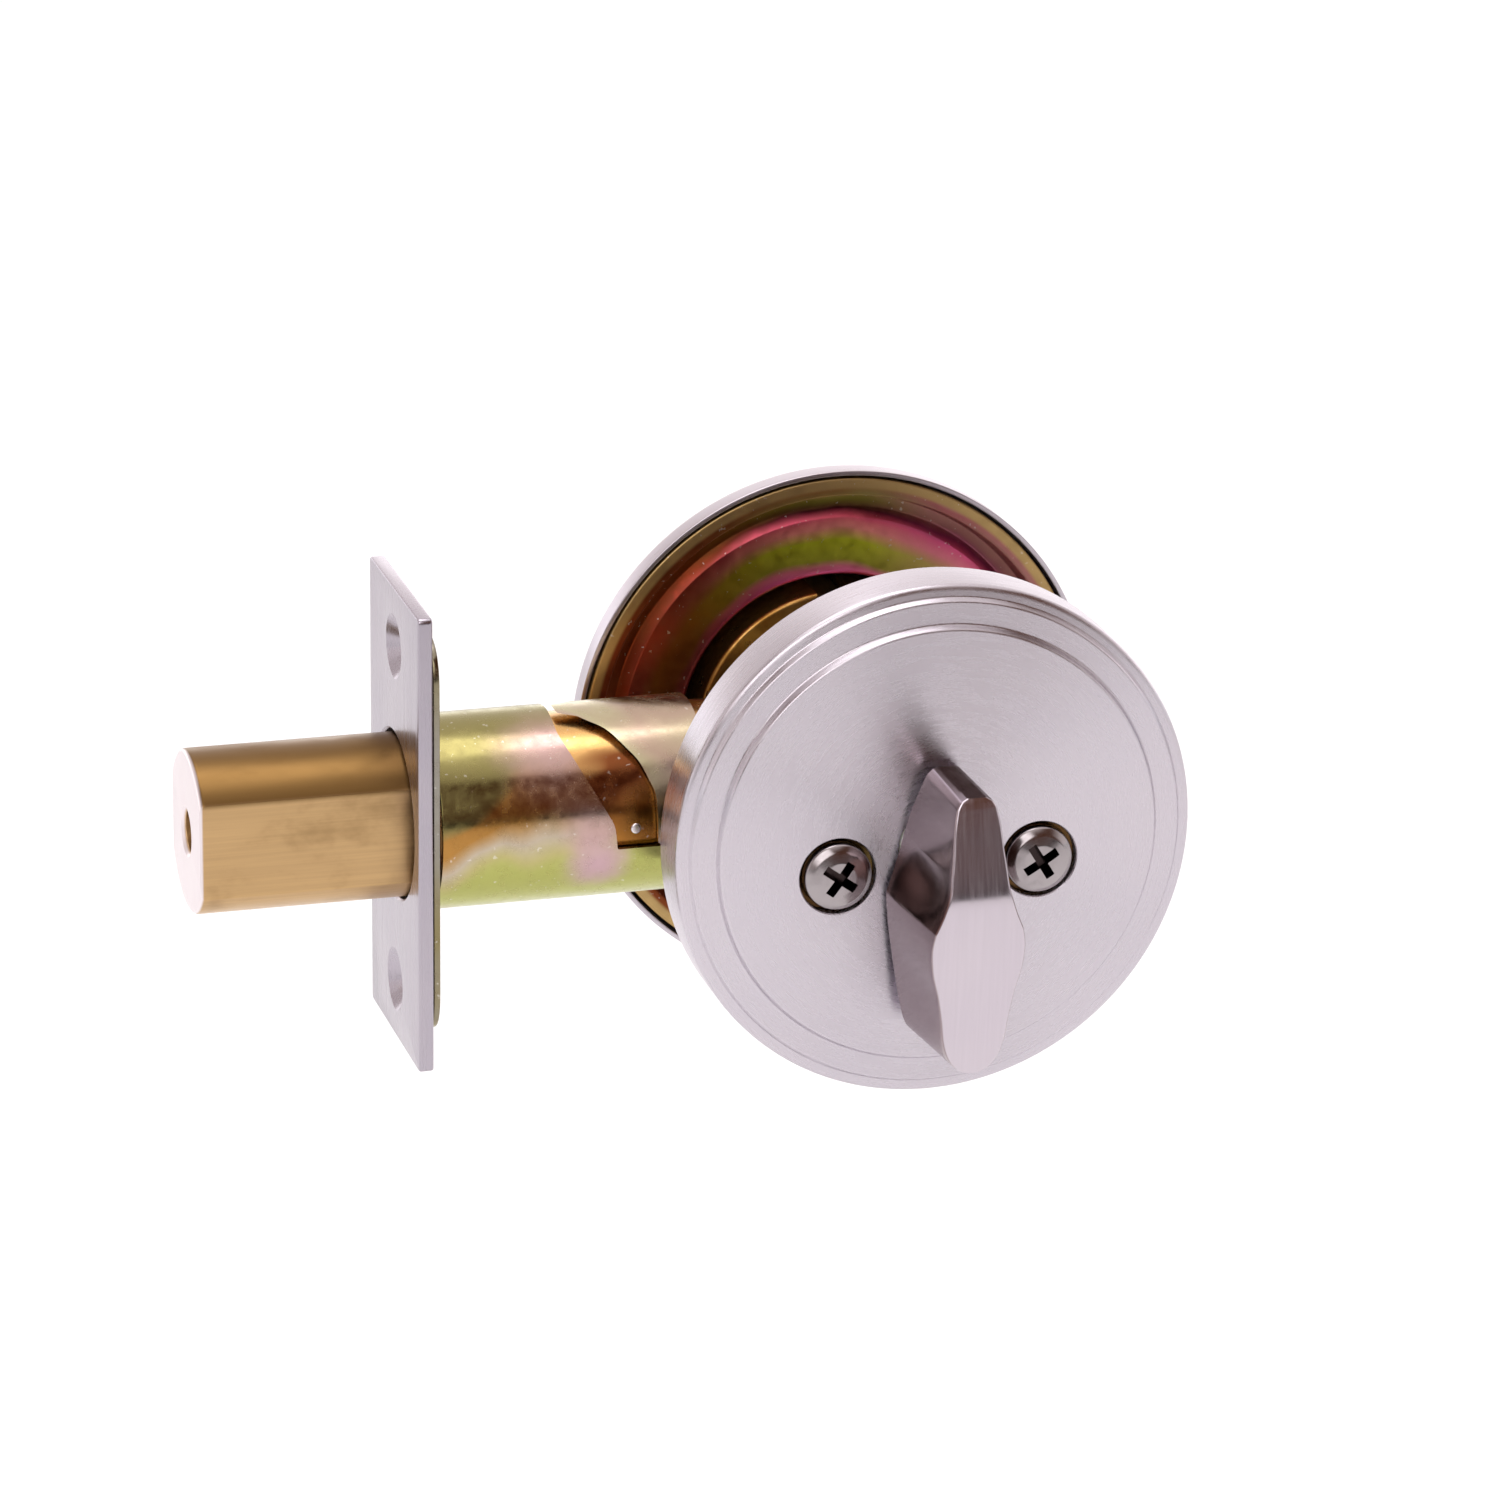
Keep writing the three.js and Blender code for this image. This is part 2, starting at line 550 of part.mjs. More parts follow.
// The housing: plug bore, screw lugs, pin chambers and the slot that caps them.
function cylinderBody() {
  const { radius, rear, flange, flangeBack, front, bore } = cylinder;
  const blank = turned([
    [bore, rear], [radius - 0.5, rear], [radius, rear + 0.6], [radius, flangeBack], [flange, flangeBack],
    [flange, front - 0.7], [flange - 0.8, front], [bore, front],
  ]);
  const lug = (x) => rodY(screwHoles.clearance, rear - 1, rear + 14, x, screw.z);
  const drill = eachChamber((y) => rodZ(chamber.radius, bore - 1.5, chamber.top + 1, 0, y, 10));
  const capSlot = block(-2.2, 2.2, rear - 1, flangeBack - 0.6, chamber.top, radius + 1);
  return cut(blank, lug(-screw.x), lug(screw.x), capSlot, ...drill);
}

const keyway = [
  [-0.95, 2.6], [-0.95, 0.4], [-0.25, -0.1], [-0.25, -1.5], [-0.95, -2.0], [-0.95, -4.2],
  [0.45, -4.2], [0.45, -2.6], [1.0, -2.2], [1.0, -0.9], [0.45, -0.5], [0.45, 2.6],
];

const DRIVER_NUB = { from: 250, to: 290 };
const TAILPIECE_TAB = { from: 31, to: 59 };

function cylinderPlug() {
  const { radius, rear, front, recess, recessFloor, clipGroove } = plug;
  const barrel = turned([
    [0, rear], [radius, rear], [radius, rear + 1.2], [clipGroove, rear + 1.2], [clipGroove, rear + 2.3],
    [radius, rear + 2.3], [radius, front - 0.4], [radius - 0.4, front], [0, front],
  ], 40);
  const socket = rodY(recess, rear - 1, recessFloor, 0, 0, 28);
  const nub = sectorY(3.1, recess + 0.3, DRIVER_NUB.from, DRIVER_NUB.to, rear + 0.1, recessFloor + 0.2);
  const drill = eachChamber((y) => rodZ(chamber.radius, 0.2, radius + 1, 0, y, 10));
  const keySlot = slabY(outline(keyway), recessFloor + 1, front + 1);
  const mouth = rodY(1.9, front - 0.5, front + 1, 0, 1.2, 18);
  return cut(join(cut(barrel, socket), nub), keySlot, mouth, ...drill);
}

function plugClip() {
  const { rear, clipGroove } = plug;
  return sectorY(clipGroove + GAP, 8.2, -65, 245, rear + 1.4, rear + 2.1);
}

function tailpieceCap() {
  return pipe(3.1, 6.2, plug.rear - 1.1, plug.rear - 0.3, 28);
}

// A flat blade from the plug through the drive hub into the turn piece, with a round head and one tab.
function tailpiece() {
  const [halfThin, halfWide] = [blade.thickness / 2, blade.width / 2];
  const [headBack, headFront] = [plug.rear + 0.35, plug.recessFloor - GAP];
  const bar = block(-halfThin, halfThin, -blade.front, headBack + 0.5, -halfWide, halfWide);
  const head = rodY(2.75, headBack, headFront, 0, 0, 24);
  const tab = sectorY(2, 4.6, TAILPIECE_TAB.from, TAILPIECE_TAB.to, headBack, headFront);
  return join(bar, head, tab);
}

function keyPin(length) {
  return alongZ(turned([[0, 0], [0.5, 0], [chamber.pin, 0.7], [chamber.pin, length], [0, length]], 12));
}

function driverPin() {
  return rodZ(chamber.pin, 0, 3.6, 0, 0, 12);
}

// A short helical spring standing on z = 0.
class Helix extends THREE.Curve {
  constructor(radius, height, turns) {
    super();
    Object.assign(this, { radius, height, turns });
  }

  getPoint(t, target = new THREE.Vector3()) {
    const angle = t * this.turns * Math.PI * 2;
    return target.set(this.radius * Math.cos(angle), this.radius * Math.sin(angle), t * this.height);
  }
}

function pinSpring() {
  const [coil, wire, height, turns] = [0.95, 0.19, 3.0, 3];
  const section = new THREE.Shape().absarc(0, 0, wire, 0, Math.PI * 2, false);
  const extrudePath = new Helix(coil, height, turns);
  return new THREE.ExtrudeGeometry(section, { steps: turns * 7, curveSegments: 2, extrudePath });
}

function addPinStacks() {
  const shearTop = 6.15;
  const lengths = [4.6, 5.2, 4.2, 5.0, 4.4];
  lengths.forEach((length, index) => {
    const y = chamberDepth(index);
    piece(exterior, `key_pin_${index + 1}`, keyPin(length), brass, [0, y, shearTop - length]);
    piece(exterior, `driver_pin_${index + 1}`, driverPin(), brass, [0, y, 7]);
    piece(exterior, `pin_spring_${index + 1}`, pinSpring(), springSteel, [0, y, 11.2]);
  });
}

function addExterior() {
  piece(exterior, 'cylinder_collar', collarShell(), satinChrome);
  piece(exterior, 'reinforcing_ring', reinforcingRing(), zincYellow);
  piece(exterior, 'cylinder_body', cylinderBody(), satinChrome);
  piece(exterior, 'cylinder_plug', cylinderPlug(), satinChrome);
  piece(exterior, 'plug_clip', plugClip(), springSteel);
  piece(exterior, 'tailpiece_cap', tailpieceCap(), brass);
  piece(exterior, 'tailpiece', tailpiece(), brightSteel);
  const capBack = cylinder.rear + 0.6;
  piece(exterior, 'chamber_cap', block(-1.9, 1.9, capBack, cylinder.flangeBack - 1, 14.9, 16.2), brass);
  addPinStacks();
}

addInterior();
addBoltAssembly();
addExterior();

export default lock;
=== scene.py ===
"""Looks of the deadbolt door lock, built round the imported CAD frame. Lengths here are in millimetres."""

import math

import bmesh
import bpy
from mathutils import Matrix, Vector


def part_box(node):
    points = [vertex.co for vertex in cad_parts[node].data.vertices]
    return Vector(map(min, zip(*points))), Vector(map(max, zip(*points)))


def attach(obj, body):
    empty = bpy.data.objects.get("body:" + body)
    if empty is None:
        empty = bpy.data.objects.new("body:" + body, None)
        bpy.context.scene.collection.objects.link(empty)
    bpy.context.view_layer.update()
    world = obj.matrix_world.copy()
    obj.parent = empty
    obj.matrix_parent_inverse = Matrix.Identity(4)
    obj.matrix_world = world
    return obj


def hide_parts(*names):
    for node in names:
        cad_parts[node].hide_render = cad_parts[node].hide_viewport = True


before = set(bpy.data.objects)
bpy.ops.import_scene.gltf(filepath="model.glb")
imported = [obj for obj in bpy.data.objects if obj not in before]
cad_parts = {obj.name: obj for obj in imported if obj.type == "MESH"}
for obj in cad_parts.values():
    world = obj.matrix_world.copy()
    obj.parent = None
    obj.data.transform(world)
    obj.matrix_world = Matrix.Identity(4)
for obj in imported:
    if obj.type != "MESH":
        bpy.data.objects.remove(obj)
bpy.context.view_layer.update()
MM = 0.001
CASE, TURN, BOLT, PLUG = "lock_case", "turn", "bolt", "plug"


# ---------------- sizes taken from the frame

def node_box(node):
    """A CAD node's lowest and highest corners in millimetres."""
    low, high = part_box(node)
    return low / MM, high / MM


ROSE_LOW, ROSE_HIGH = node_box("interior_rose")
COLLAR_HIGH = node_box("cylinder_collar")[1]
PLATE_LOW, PLATE_HIGH = node_box("faceplate")
BACK_LOW, BACK_HIGH = node_box("backplate")
BOLT_LOW, BOLT_HIGH = node_box("bolt")
CASE_LOW, CASE_HIGH = node_box("cam_case")
CORE_LOW, CORE_HIGH = node_box("inner_tube")
TUBE_LOW, TUBE_HIGH = node_box("front_tube")
SCREW_LOW, SCREW_HIGH = node_box("mounting_screw_left")

DOOR_FACE = ROSE_HIGH.y
ROSE_RADIUS = ROSE_HIGH.x
ROSE_FRONT = ROSE_LOW.y
COLLAR_RADIUS = COLLAR_HIGH.x
SCREW_X = -(SCREW_LOW.x + SCREW_HIGH.x) / 2
SCREW_Z = (SCREW_LOW.z + SCREW_HIGH.z) / 2
SCREW_LENGTH = 54.0
SCREW_SHANK = 2.4
PLATE_SCREW_Z = 21.25
PLATE_OPENING = 10.3
TUBE_BORE = 11.1
BLADE_SLOT = (1.05, 2.8)
CASE_WALL = 1.4
PIN_NUMBERS = range(1, 6)


# ---------------- mesh tools

def add_object(name, data):
    made = bpy.data.objects.new(name, data)
    bpy.context.scene.collection.objects.link(made)
    return made


def make_mesh(name, points, faces):
    """A mesh object from points in millimetres, with its faces turned outwards."""
    mesh = bpy.data.meshes.new(name)
    mesh.from_pydata([Vector(p) * MM for p in points], [], faces)
    obj = add_object(name, mesh)
    clean(obj)
    return obj


def clean(obj):
    """Merges doubled points, drops faces without area, turns the rest outwards."""
    work = bmesh.new()
    work.from_mesh(obj.data)
    bmesh.ops.remove_doubles(work, verts=work.verts, dist=1e-7)
    bmesh.ops.dissolve_degenerate(work, edges=work.edges, dist=1e-8)
    bmesh.ops.recalc_face_normals(work, faces=work.faces)
    work.to_mesh(obj.data)
    work.free()


def smooth(obj, degrees=32):
    for polygon in obj.data.polygons:
        polygon.use_smooth = True
    obj.data.set_sharp_from_angle(angle=math.radians(degrees))


def bake_modifiers(obj):
    """Makes the modifiers' result the mesh."""
    depsgraph = bpy.context.evaluated_depsgraph_get()
    mesh = bpy.data.meshes.new_from_object(obj.evaluated_get(depsgraph))
    obj.modifiers.clear()
    obj.data = mesh


def boolean(obj, tool, operation="DIFFERENCE"):
    """Cuts or joins obj with tool, and throws the tool away."""
    modifier = obj.modifiers.new("boolean", "BOOLEAN")
    modifier.operation = operation
    modifier.solver = "EXACT"
    modifier.object = tool
    bake_modifiers(obj)
    bpy.data.objects.remove(tool)
    return obj


def cut(obj, *tools):
    for tool in tools:
        boolean(obj, tool)
    return obj


def bevel(obj, width, degrees=30, segments=2):
    modifier = obj.modifiers.new("bevel", "BEVEL")
    modifier.width = width * MM
    modifier.segments = segments
    modifier.limit_method = "ANGLE"
    modifier.angle_limit = math.radians(degrees)
    bake_modifiers(obj)
    return obj


def moved(obj, matrix):
    obj.data.transform(matrix)
    if matrix.determinant() < 0:
        obj.data.flip_normals()
    return obj


def shift(obj, x=0.0, y=0.0, z=0.0):
    return moved(obj, Matrix.Translation(Vector((x, y, z)) * MM))


def fillet(points, steps=5):
    """Rounds a closed outline: each point is (a, b) or (a, b, radius)."""
    result = []
    count = len(points)
    for i, point in enumerate(points):
        here = Vector(point[:2])
        radius = point[2] if len(point) > 2 else 0
        if not radius:
            result.append(here)
            continue
        before = (Vector(points[i - 1][:2]) - here)
        after = (Vector(points[(i + 1) % count][:2]) - here)
        half = before.angle(after) / 2
        reach = min(radius / math.tan(half), before.length * 0.49, after.length * 0.49)
        start = here + before.normalized() * reach
        end = here + after.normalized() * reach
        for step in range(steps + 1):
            t = step / steps
            result.append(start * (1 - t) ** 2 + here * 2 * t * (1 - t) + end * t * t)
    return result


AXES = {
    "X": lambda a, r, angle: (a, r * math.cos(angle), r * math.sin(angle)),
    "Y": lambda a, r, angle: (r * math.cos(angle), a, r * math.sin(angle)),
    "Z": lambda a, r, angle: (r * math.cos(angle), r * math.sin(angle), a),
}


def lathe(name, profile, axis="Y", sides=192, steps=5):
    """A closed profile of (radius, height along the axis, optional fillet radius) turned about an axis."""
    outline = fillet(profile, steps)
    place = AXES[axis]
    points = [place(p.y, p.x, math.tau * i / sides) for i in range(sides) for p in outline]
    rows = len(outline)
    faces = []
    for i in range(sides):
        nearer, farther = i * rows, ((i + 1) % sides) * rows
        for j in range(rows):
            k = (j + 1) % rows
            if outline[j].x < 1e-6 and outline[k].x < 1e-6:
                continue
            faces.append((nearer + j, nearer + k, farther + k, farther + j))
    return make_mesh(name, points, faces)


def rod(name, radius, low, high, axis="Y", centre=(0, 0, 0), sides=64):
    bar = lathe(name, [(0, low), (radius, low), (radius, high), (0, high)], axis, sides)
    return shift(bar, *centre)


def slab(name, outline, low, high, axis="Y", holes=(), steps=6):
    """A rounded outline in the plane across an axis, extruded from low to high."""
    place = {
        "X": lambda a, b, c: (c, a, b),
        "Y": lambda a, b, c: (a, c, b),
        "Z": lambda a, b, c: (a, b, c),
    }[axis]
    ring = fillet(outline, steps)
    count = len(ring)
    points = [place(p.x, p.y, low) for p in ring] + [place(p.x, p.y, high) for p in ring]
    faces = [tuple(range(count)), tuple(range(count, 2 * count))]
    faces += [(i, (i + 1) % count, count + (i + 1) % count, count + i) for i in range(count)]
    body = make_mesh(name, points, faces)
    for hole in holes:
        boolean(body, slab(name + "_hole", hole, low - 1, high + 1, axis, (), steps))
    return body


def block(name, low, high):
    (x0, y0, z0), (x1, y1, z1) = low, high
    return slab(name, [(x0, y0), (x1, y0), (x1, y1), (x0, y1)], z0, z1, "Z")


def join(name, *objects):
    """Several closed meshes of one piece as one object."""
    work = bmesh.new()
    for obj in objects:
        work.from_mesh(obj.data)
        bpy.data.objects.remove(obj)
    mesh = bpy.data.meshes.new(name)
    work.to_mesh(mesh)
    work.free()
    return add_object(name, mesh)


def arc(centre, radius, start, end, steps=24):
    """Points on an arc, its angles in degrees from the first axis towards the second."""
    angles = [math.radians(start + (end - start) * i / steps) for i in range(steps + 1)]
    return [(centre[0] + radius * math.cos(a), centre[1] + radius * math.sin(a)) for a in angles]


def finish_piece(obj, body, material, slot, *nodes, degrees=32):
    """Names the body that carries a piece, what it replaces and what it is made of; slot is not used."""
    smooth(obj, degrees)
    obj.data.materials.clear()
    obj.data.materials.append(material)
    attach(obj, body)
    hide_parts(*nodes)


# ---------------- material tools

class Tree:
    """A short way to write a material's nodes: inputs are numbers, colours or other nodes' outputs."""

    def __init__(self, owner):
        if isinstance(owner, str):
            owner = bpy.data.materials.new(owner)
        owner.use_nodes = True
        self.owner = owner
        self.nodes = owner.node_tree.nodes
        self.links = owner.node_tree.links
        self.shader = self.nodes.get("Principled BSDF")

    def put(self, socket, value):
        if isinstance(value, bpy.types.NodeSocket):
            self.links.new(value, socket)
        else:
            socket.default_value = value

    def add(self, kind, inputs=None, output=0, **settings):
        made = self.nodes.new("ShaderNode" + kind)
        for key, value in settings.items():
            setattr(made, key, value)
        for key, value in (inputs or {}).items():
            self.put(made.inputs[key], value)
        return made.outputs[output]

    def math(self, operation, *values):
        return self.add("Math", dict(enumerate(values)), operation=operation)

    def times(self, first, second):
        return self.math("MULTIPLY", first, second)

    def noise(self, vector, scale, detail=3.0, rough=0.5, distortion=0.0):
        inputs = {"Vector": vector, "Scale": scale, "Detail": detail, "Roughness": rough}
        return self.add("TexNoise", {**inputs, "Distortion": distortion}, output="Fac")

    def spread(self, value, low, high, to_low=0.0, to_high=1.0):
        inputs = {"Value": value, 1: low, 2: high, 3: to_low, 4: to_high}
        return self.add("MapRange", inputs, clamp=True, interpolation_type="SMOOTHSTEP")

    def mix(self, factor, first, second):
        made = self.nodes.new("ShaderNodeMix")
        made.data_type = "RGBA"
        made.clamp_factor = True
        for key, value in ((0, factor), (6, first), (7, second)):
            self.put(made.inputs[key], value)
        return made.outputs[2]

    def layer(self, colour, *layers):
        """Lays tones over a colour, each with its own mask."""
        for mask, tone in layers:
            colour = self.mix(mask, colour, (*tone, 1))
        return colour

    def ramp(self, factor, stops):
        made = self.nodes.new("ShaderNodeValToRGB")
        elements = made.color_ramp.elements
        while len(elements) < len(stops):
            elements.new(0.5)
        for element, (place, colour) in zip(elements, stops):
            element.position = place
            element.color = (*colour, 1)
        self.put(made.inputs[0], factor)
        return made.outputs[0]

    def coordinates(self):
        return self.add("TexCoord", output="Object")

    def split(self, vector):
        made = self.nodes.new("ShaderNodeSeparateXYZ")
        self.put(made.inputs[0], vector)
        return made.outputs[0], made.outputs[1], made.outputs[2]

    def join(self, x, y, z):
        return self.add("CombineXYZ", {0: x, 1: y, 2: z})

    def scaled(self, vector, factors):
        return self.add("VectorMath", {0: vector, 1: factors}, operation="MULTIPLY")

    def bump(self, height, strength, depth):
        inputs = {"Height": height, "Strength": strength, "Distance": depth * MM}
        return self.add("Bump", inputs, output="Normal")

    def surface(self, **inputs):
        for key, value in inputs.items():
            self.put(self.shader.inputs[key.replace("_", " ")], value)
        return self.owner


def polar(tree, vector):
    """Radius and angle about the hub axis Y."""
    x, _, z = tree.split(vector)
    radius = tree.math("SQRT", tree.math("ADD", tree.times(x, x), tree.times(z, z)))
    return radius, tree.math("ARCTAN2", z, x)


ALONG_X, ALONG_Y, ALONG_Z = (0.02, 1, 1), (1, 0.02, 1), (1, 1, 0.02)
LENGTHWISE = (1, 0.12, 0.02)
RING = None
ACROSS = 0.25


def brush_lines(tree, direction, fineness=2600.0):
    """A fine streak pattern, 0 to 1, round the hub axis or along the given direction."""
    where = tree.coordinates()
    if direction is RING:
        radius, angle = polar(tree, where)
        depth = tree.split(where)[1]
        radius, depth = tree.times(radius, fineness), tree.times(depth, fineness)
        where = tree.join(radius, tree.times(angle, 5.0), depth)
    else:
        where = tree.scaled(where, tuple(fineness * part for part in direction))
    return tree.noise(where, 1.0, 4.0, 0.65)


def shade(colour, factor):
    return (*(c * factor for c in colour), 1)


CLEAN_CHROME = (0.56, 0.515, 0.565)
CLOUDED_CHROME = (0.66, 0.60, 0.62)


def satin(name, direction, tint=CLEAN_CHROME, rough=0.3, aniso=0.6, turn=0.0, axis="Y", tones=None):
    """Satin chrome: fine brushing with a sheen drawn across it, slight clouds and any painted reflections
    laid over it.
    """
    tree = Tree(name)
    lines = brush_lines(tree, direction)
    clouds = tree.noise(tree.coordinates(), 90.0, 3.0)
    colour = tree.mix(tree.spread(lines, 0.25, 0.75), shade(tint, 0.96), shade(tint, 1.03))
    painted = tones(tree) if tones else ()
    colour = tree.layer(colour, (tree.spread(clouds, 0.3, 0.7, 0.0, 0.12), CLOUDED_CHROME), *painted)
    return tree.surface(
        Metallic=1.0, Base_Color=colour, Anisotropic=aniso, Anisotropic_Rotation=turn,
        Roughness=tree.spread(lines, 0.2, 0.8, rough - 0.04, rough + 0.06),
        Tangent=tree.add("Tangent", direction_type="RADIAL", axis=axis),
        Normal=tree.bump(lines, 0.045, 0.012),
    )


# Painted reflections: the dark room mirrored in the lever's sides, top end and scoops, laid into its
# colour.
LEVER_SIDE_PAINTED_REFLECTION = (0.24, 0.175, 0.18)
LEVER_TOP_PAINTED_REFLECTION = (0.12, 0.08, 0.08)
SCOOP_PAINTED_REFLECTION = (0.085, 0.028, 0.018)


def lever_painted_reflections(tree):
    """Painted reflections for the lever: darker warm sides and top end, and darkest in the scoops,
    standing in for the dark room mirrored in them.
    """
    nx, _, nz = tree.split(tree.add("TexCoord", output="Normal"))
    z = tree.split(tree.coordinates())[2]
    side = tree.spread(tree.math("ABSOLUTE", nx), 0.45, 0.8, 0.0, 0.8)
    band = tree.times(tree.spread(z, -5.0 * MM, -4.7 * MM), tree.spread(z, -1.2 * MM, 1.6 * MM, 1.0, 0.0))
    top = tree.spread(nz, 0.80, 0.92, 0.0, 0.9)
    return [(side, LEVER_SIDE_PAINTED_REFLECTION), (tree.times(side, band), SCOOP_PAINTED_REFLECTION), (top, LEVER_TOP_PAINTED_REFLECTION)]


def blob(tree, centre, size):
    """1 inside a soft, wavering ball round a point in millimetres, falling to 0 outside it."""
    softness = 0.85
    where = tree.coordinates()
    wobble = tree.noise(where, 220.0, 2.0)
    ends = {0: where, 1: tuple(c * MM for c in centre)}
    away = tree.add("VectorMath", ends, output="Value", operation="DISTANCE")
    reach = tree.math("ADD", away, tree.times(tree.math("SUBTRACT", wobble, 0.5), size * MM * 0.9))
    return tree.spread(reach, size * MM * (1 - softness), size * MM * (1 + softness), 1.0, 0.0)


GREEN = (0.42, 0.43, 0.13)
YELLOW = (0.47, 0.42, 0.18)
PALE = (0.51, 0.46, 0.29)
PINK = (0.52, 0.35, 0.32)
MAGENTA = (0.50, 0.07, 0.26)
AMBER = (0.34, 0.145, 0.03)
GOLD = (0.46, 0.31, 0.13)
# Painted shadow for the ring's bolt side, over its brown plate.
RING_SHADOW_BROWN = (0.20, 0.035, 0.012)
BROWN = (0.42, 0.21, 0.055)
MOTTLE_TONE = (0.20, 0.15, 0.05)
FLECK_TONE = (0.80, 0.77, 0.72)


def zinc_finish(tree, colour, rough, direction):
    """Adds fine mottling, bright flecks and draw lines to a plated colour, and makes it the surface."""
    where = tree.coordinates()
    mottle = tree.noise(where, 620.0, 3.0, 0.6)
    flecks = tree.spread(tree.noise(where, 1500.0, 2.0, 0.5), 0.69, 0.74, 0.0, 0.35)
    mottling = tree.spread(mottle, 0.35, 0.8, 0.0, 0.10)
    colour = tree.layer(colour, (mottling, MOTTLE_TONE), (flecks, FLECK_TONE))
    lines = brush_lines(tree, direction, 1800.0)
    return tree.surface(
        Metallic=1.0, Base_Color=colour, Anisotropic=0.3,
        Roughness=tree.spread(mottle, 0.2, 0.8, rough - 0.05, rough + 0.10),
        Normal=tree.bump(tree.math("ADD", lines, mottle), 0.12, 0.012),
    )


def zinc(name, stops, spots=(), seed=0.0, rise=0.0):
    """Passivated zinc plate whose interference colours drift over the surface, and change with height by
    rise, which lays painted shade and light by height where it is used.
    """
    tree = Tree(name)
    ends = {0: tree.coordinates(), 1: (seed, seed * 0.7, seed * 1.3)}
    where = tree.add("VectorMath", ends, operation="ADD")
    drift = tree.noise(where, 42.0, 2.0, 0.5, 0.4)
    drift = tree.math("ADD", drift, tree.times(tree.split(where)[2], rise))
    colour = tree.ramp(tree.spread(drift, 0.3, 0.7), stops)
    colour = tree.layer(colour, *((blob(tree, centre, size), tone) for centre, size, tone in spots))
    return zinc_finish(tree, colour, 0.21, ALONG_X)


# Colours of the pressed ring, each with the radius it is strongest at.
RING_BANDS = [
    (18.4, (0.20, 0.40, 0.03)), (19.2, (0.75, 0.10, 0.42)), (20.2, (0.85, 0.22, 0.36)),
    (21.0, (0.40, 0.40, 0.04)), (23.4, (0.52, 0.56, 0.03)), (25.0, (0.92, 0.32, 0.28)),
    (26.4, (0.78, 0.12, 0.20)), (27.4, (0.08, 0.01, 0.02)), (28.6, (0.20, 0.17, 0.03)),
    (29.6, (0.32, 0.25, 0.09)), (30.8, (0.36, 0.18, 0.06)), (31.5, GOLD),
]


def ring_zinc(name):
    """The pressed ring's plate: bands of colour that follow its steps, and painted shadow in dark
    red-brown on the bolt's side, over the plate's own brown there.
    """
    tree = Tree(name)
    where = tree.coordinates()
    radius, _ = polar(tree, where)
    drift = tree.times(tree.math("SUBTRACT", tree.noise(where, 48.0, 2.0), 0.5), 5.5 * MM)
    reach = 36.0
    stops = [(r / reach, colour) for r, colour in RING_BANDS]
    colour = tree.ramp(tree.math("DIVIDE", tree.math("ADD", radius, drift), reach * MM), stops)
    across = tree.split(where)[0]
    # Painted shadow: the bolt's side of the ring is darkened towards red-brown, where the rose and tube
    # shade it.
    colour = tree.layer(
        colour, (tree.spread(across, 3 * MM, 14 * MM, 0.0, 0.4), MAGENTA),
        (tree.spread(across, -20 * MM, -3 * MM, 0.93, 0.0), RING_SHADOW_BROWN),
        (tree.spread(radius, 30.7 * MM, 31.3 * MM), GOLD),
    )
    return zinc_finish(tree, colour, 0.38, RING)


def brass_material(name):
    """Drawn brass with faint draw lines, cloudy tarnish, a darker curved top that is painted shade, and a
    bright milled end.
    """
    tree = Tree(name)
    where = tree.coordinates()
    lines = brush_lines(tree, ALONG_X, 2200.0)
    stains = tree.noise(tree.scaled(where, (0.7, 1.0, 1.0)), 190.0, 4.0, 0.6)
    # dark serves both the tarnish stains and the painted shade on the curved top.
    tint, dark = (0.52, 0.34, 0.165), (0.145, 0.075, 0.02)
    colour = tree.mix(tree.spread(lines, 0.3, 0.75), shade(tint, 0.94), shade(tint, 1.05))
    along, _, height = tree.split(where)
    end = BOLT_LOW.x * MM
    colour = tree.layer(
        colour, (tree.spread(stains, 0.48, 0.78, 0.0, 0.3), dark),
        # Painted shade: the curved top above 5.2 mm is darkened, standing in for the dark it reflects.
        (tree.spread(height, 5.2 * MM, 6.2 * MM, 0.0, 0.9), dark),
        (tree.spread(along, end + 0.2 * MM, end + 0.5 * MM, 1.0, 0.0), (0.80, 0.73, 0.75)),
    )
    return tree.surface(
        Metallic=1.0, Base_Color=colour, Anisotropic=0.4,
        Roughness=tree.spread(stains, 0.3, 0.8, 0.29, 0.41), Normal=tree.bump(lines, 0.12, 0.012),
    )


def plain_metal(name, tint, rough, direction=ALONG_Y, grime=0.25):
    """A bare or bright-plated metal with faint working marks and a little grime."""
    tree = Tree(name)
    where = tree.coordinates()
    lines = brush_lines(tree, direction, 2400.0)
    dirt = tree.noise(where, 420.0, 4.0, 0.6)
    colour = tree.mix(tree.spread(dirt, 0.5, 0.85, 0.0, grime), (*tint, 1), shade(tint, 0.45))
    return tree.surface(
        Metallic=1.0, Base_Color=colour, Anisotropic=0.2,
        Roughness=tree.spread(dirt, 0.3, 0.8, rough, rough + 0.12), Normal=tree.bump(lines, 0.1, 0.01),
    )


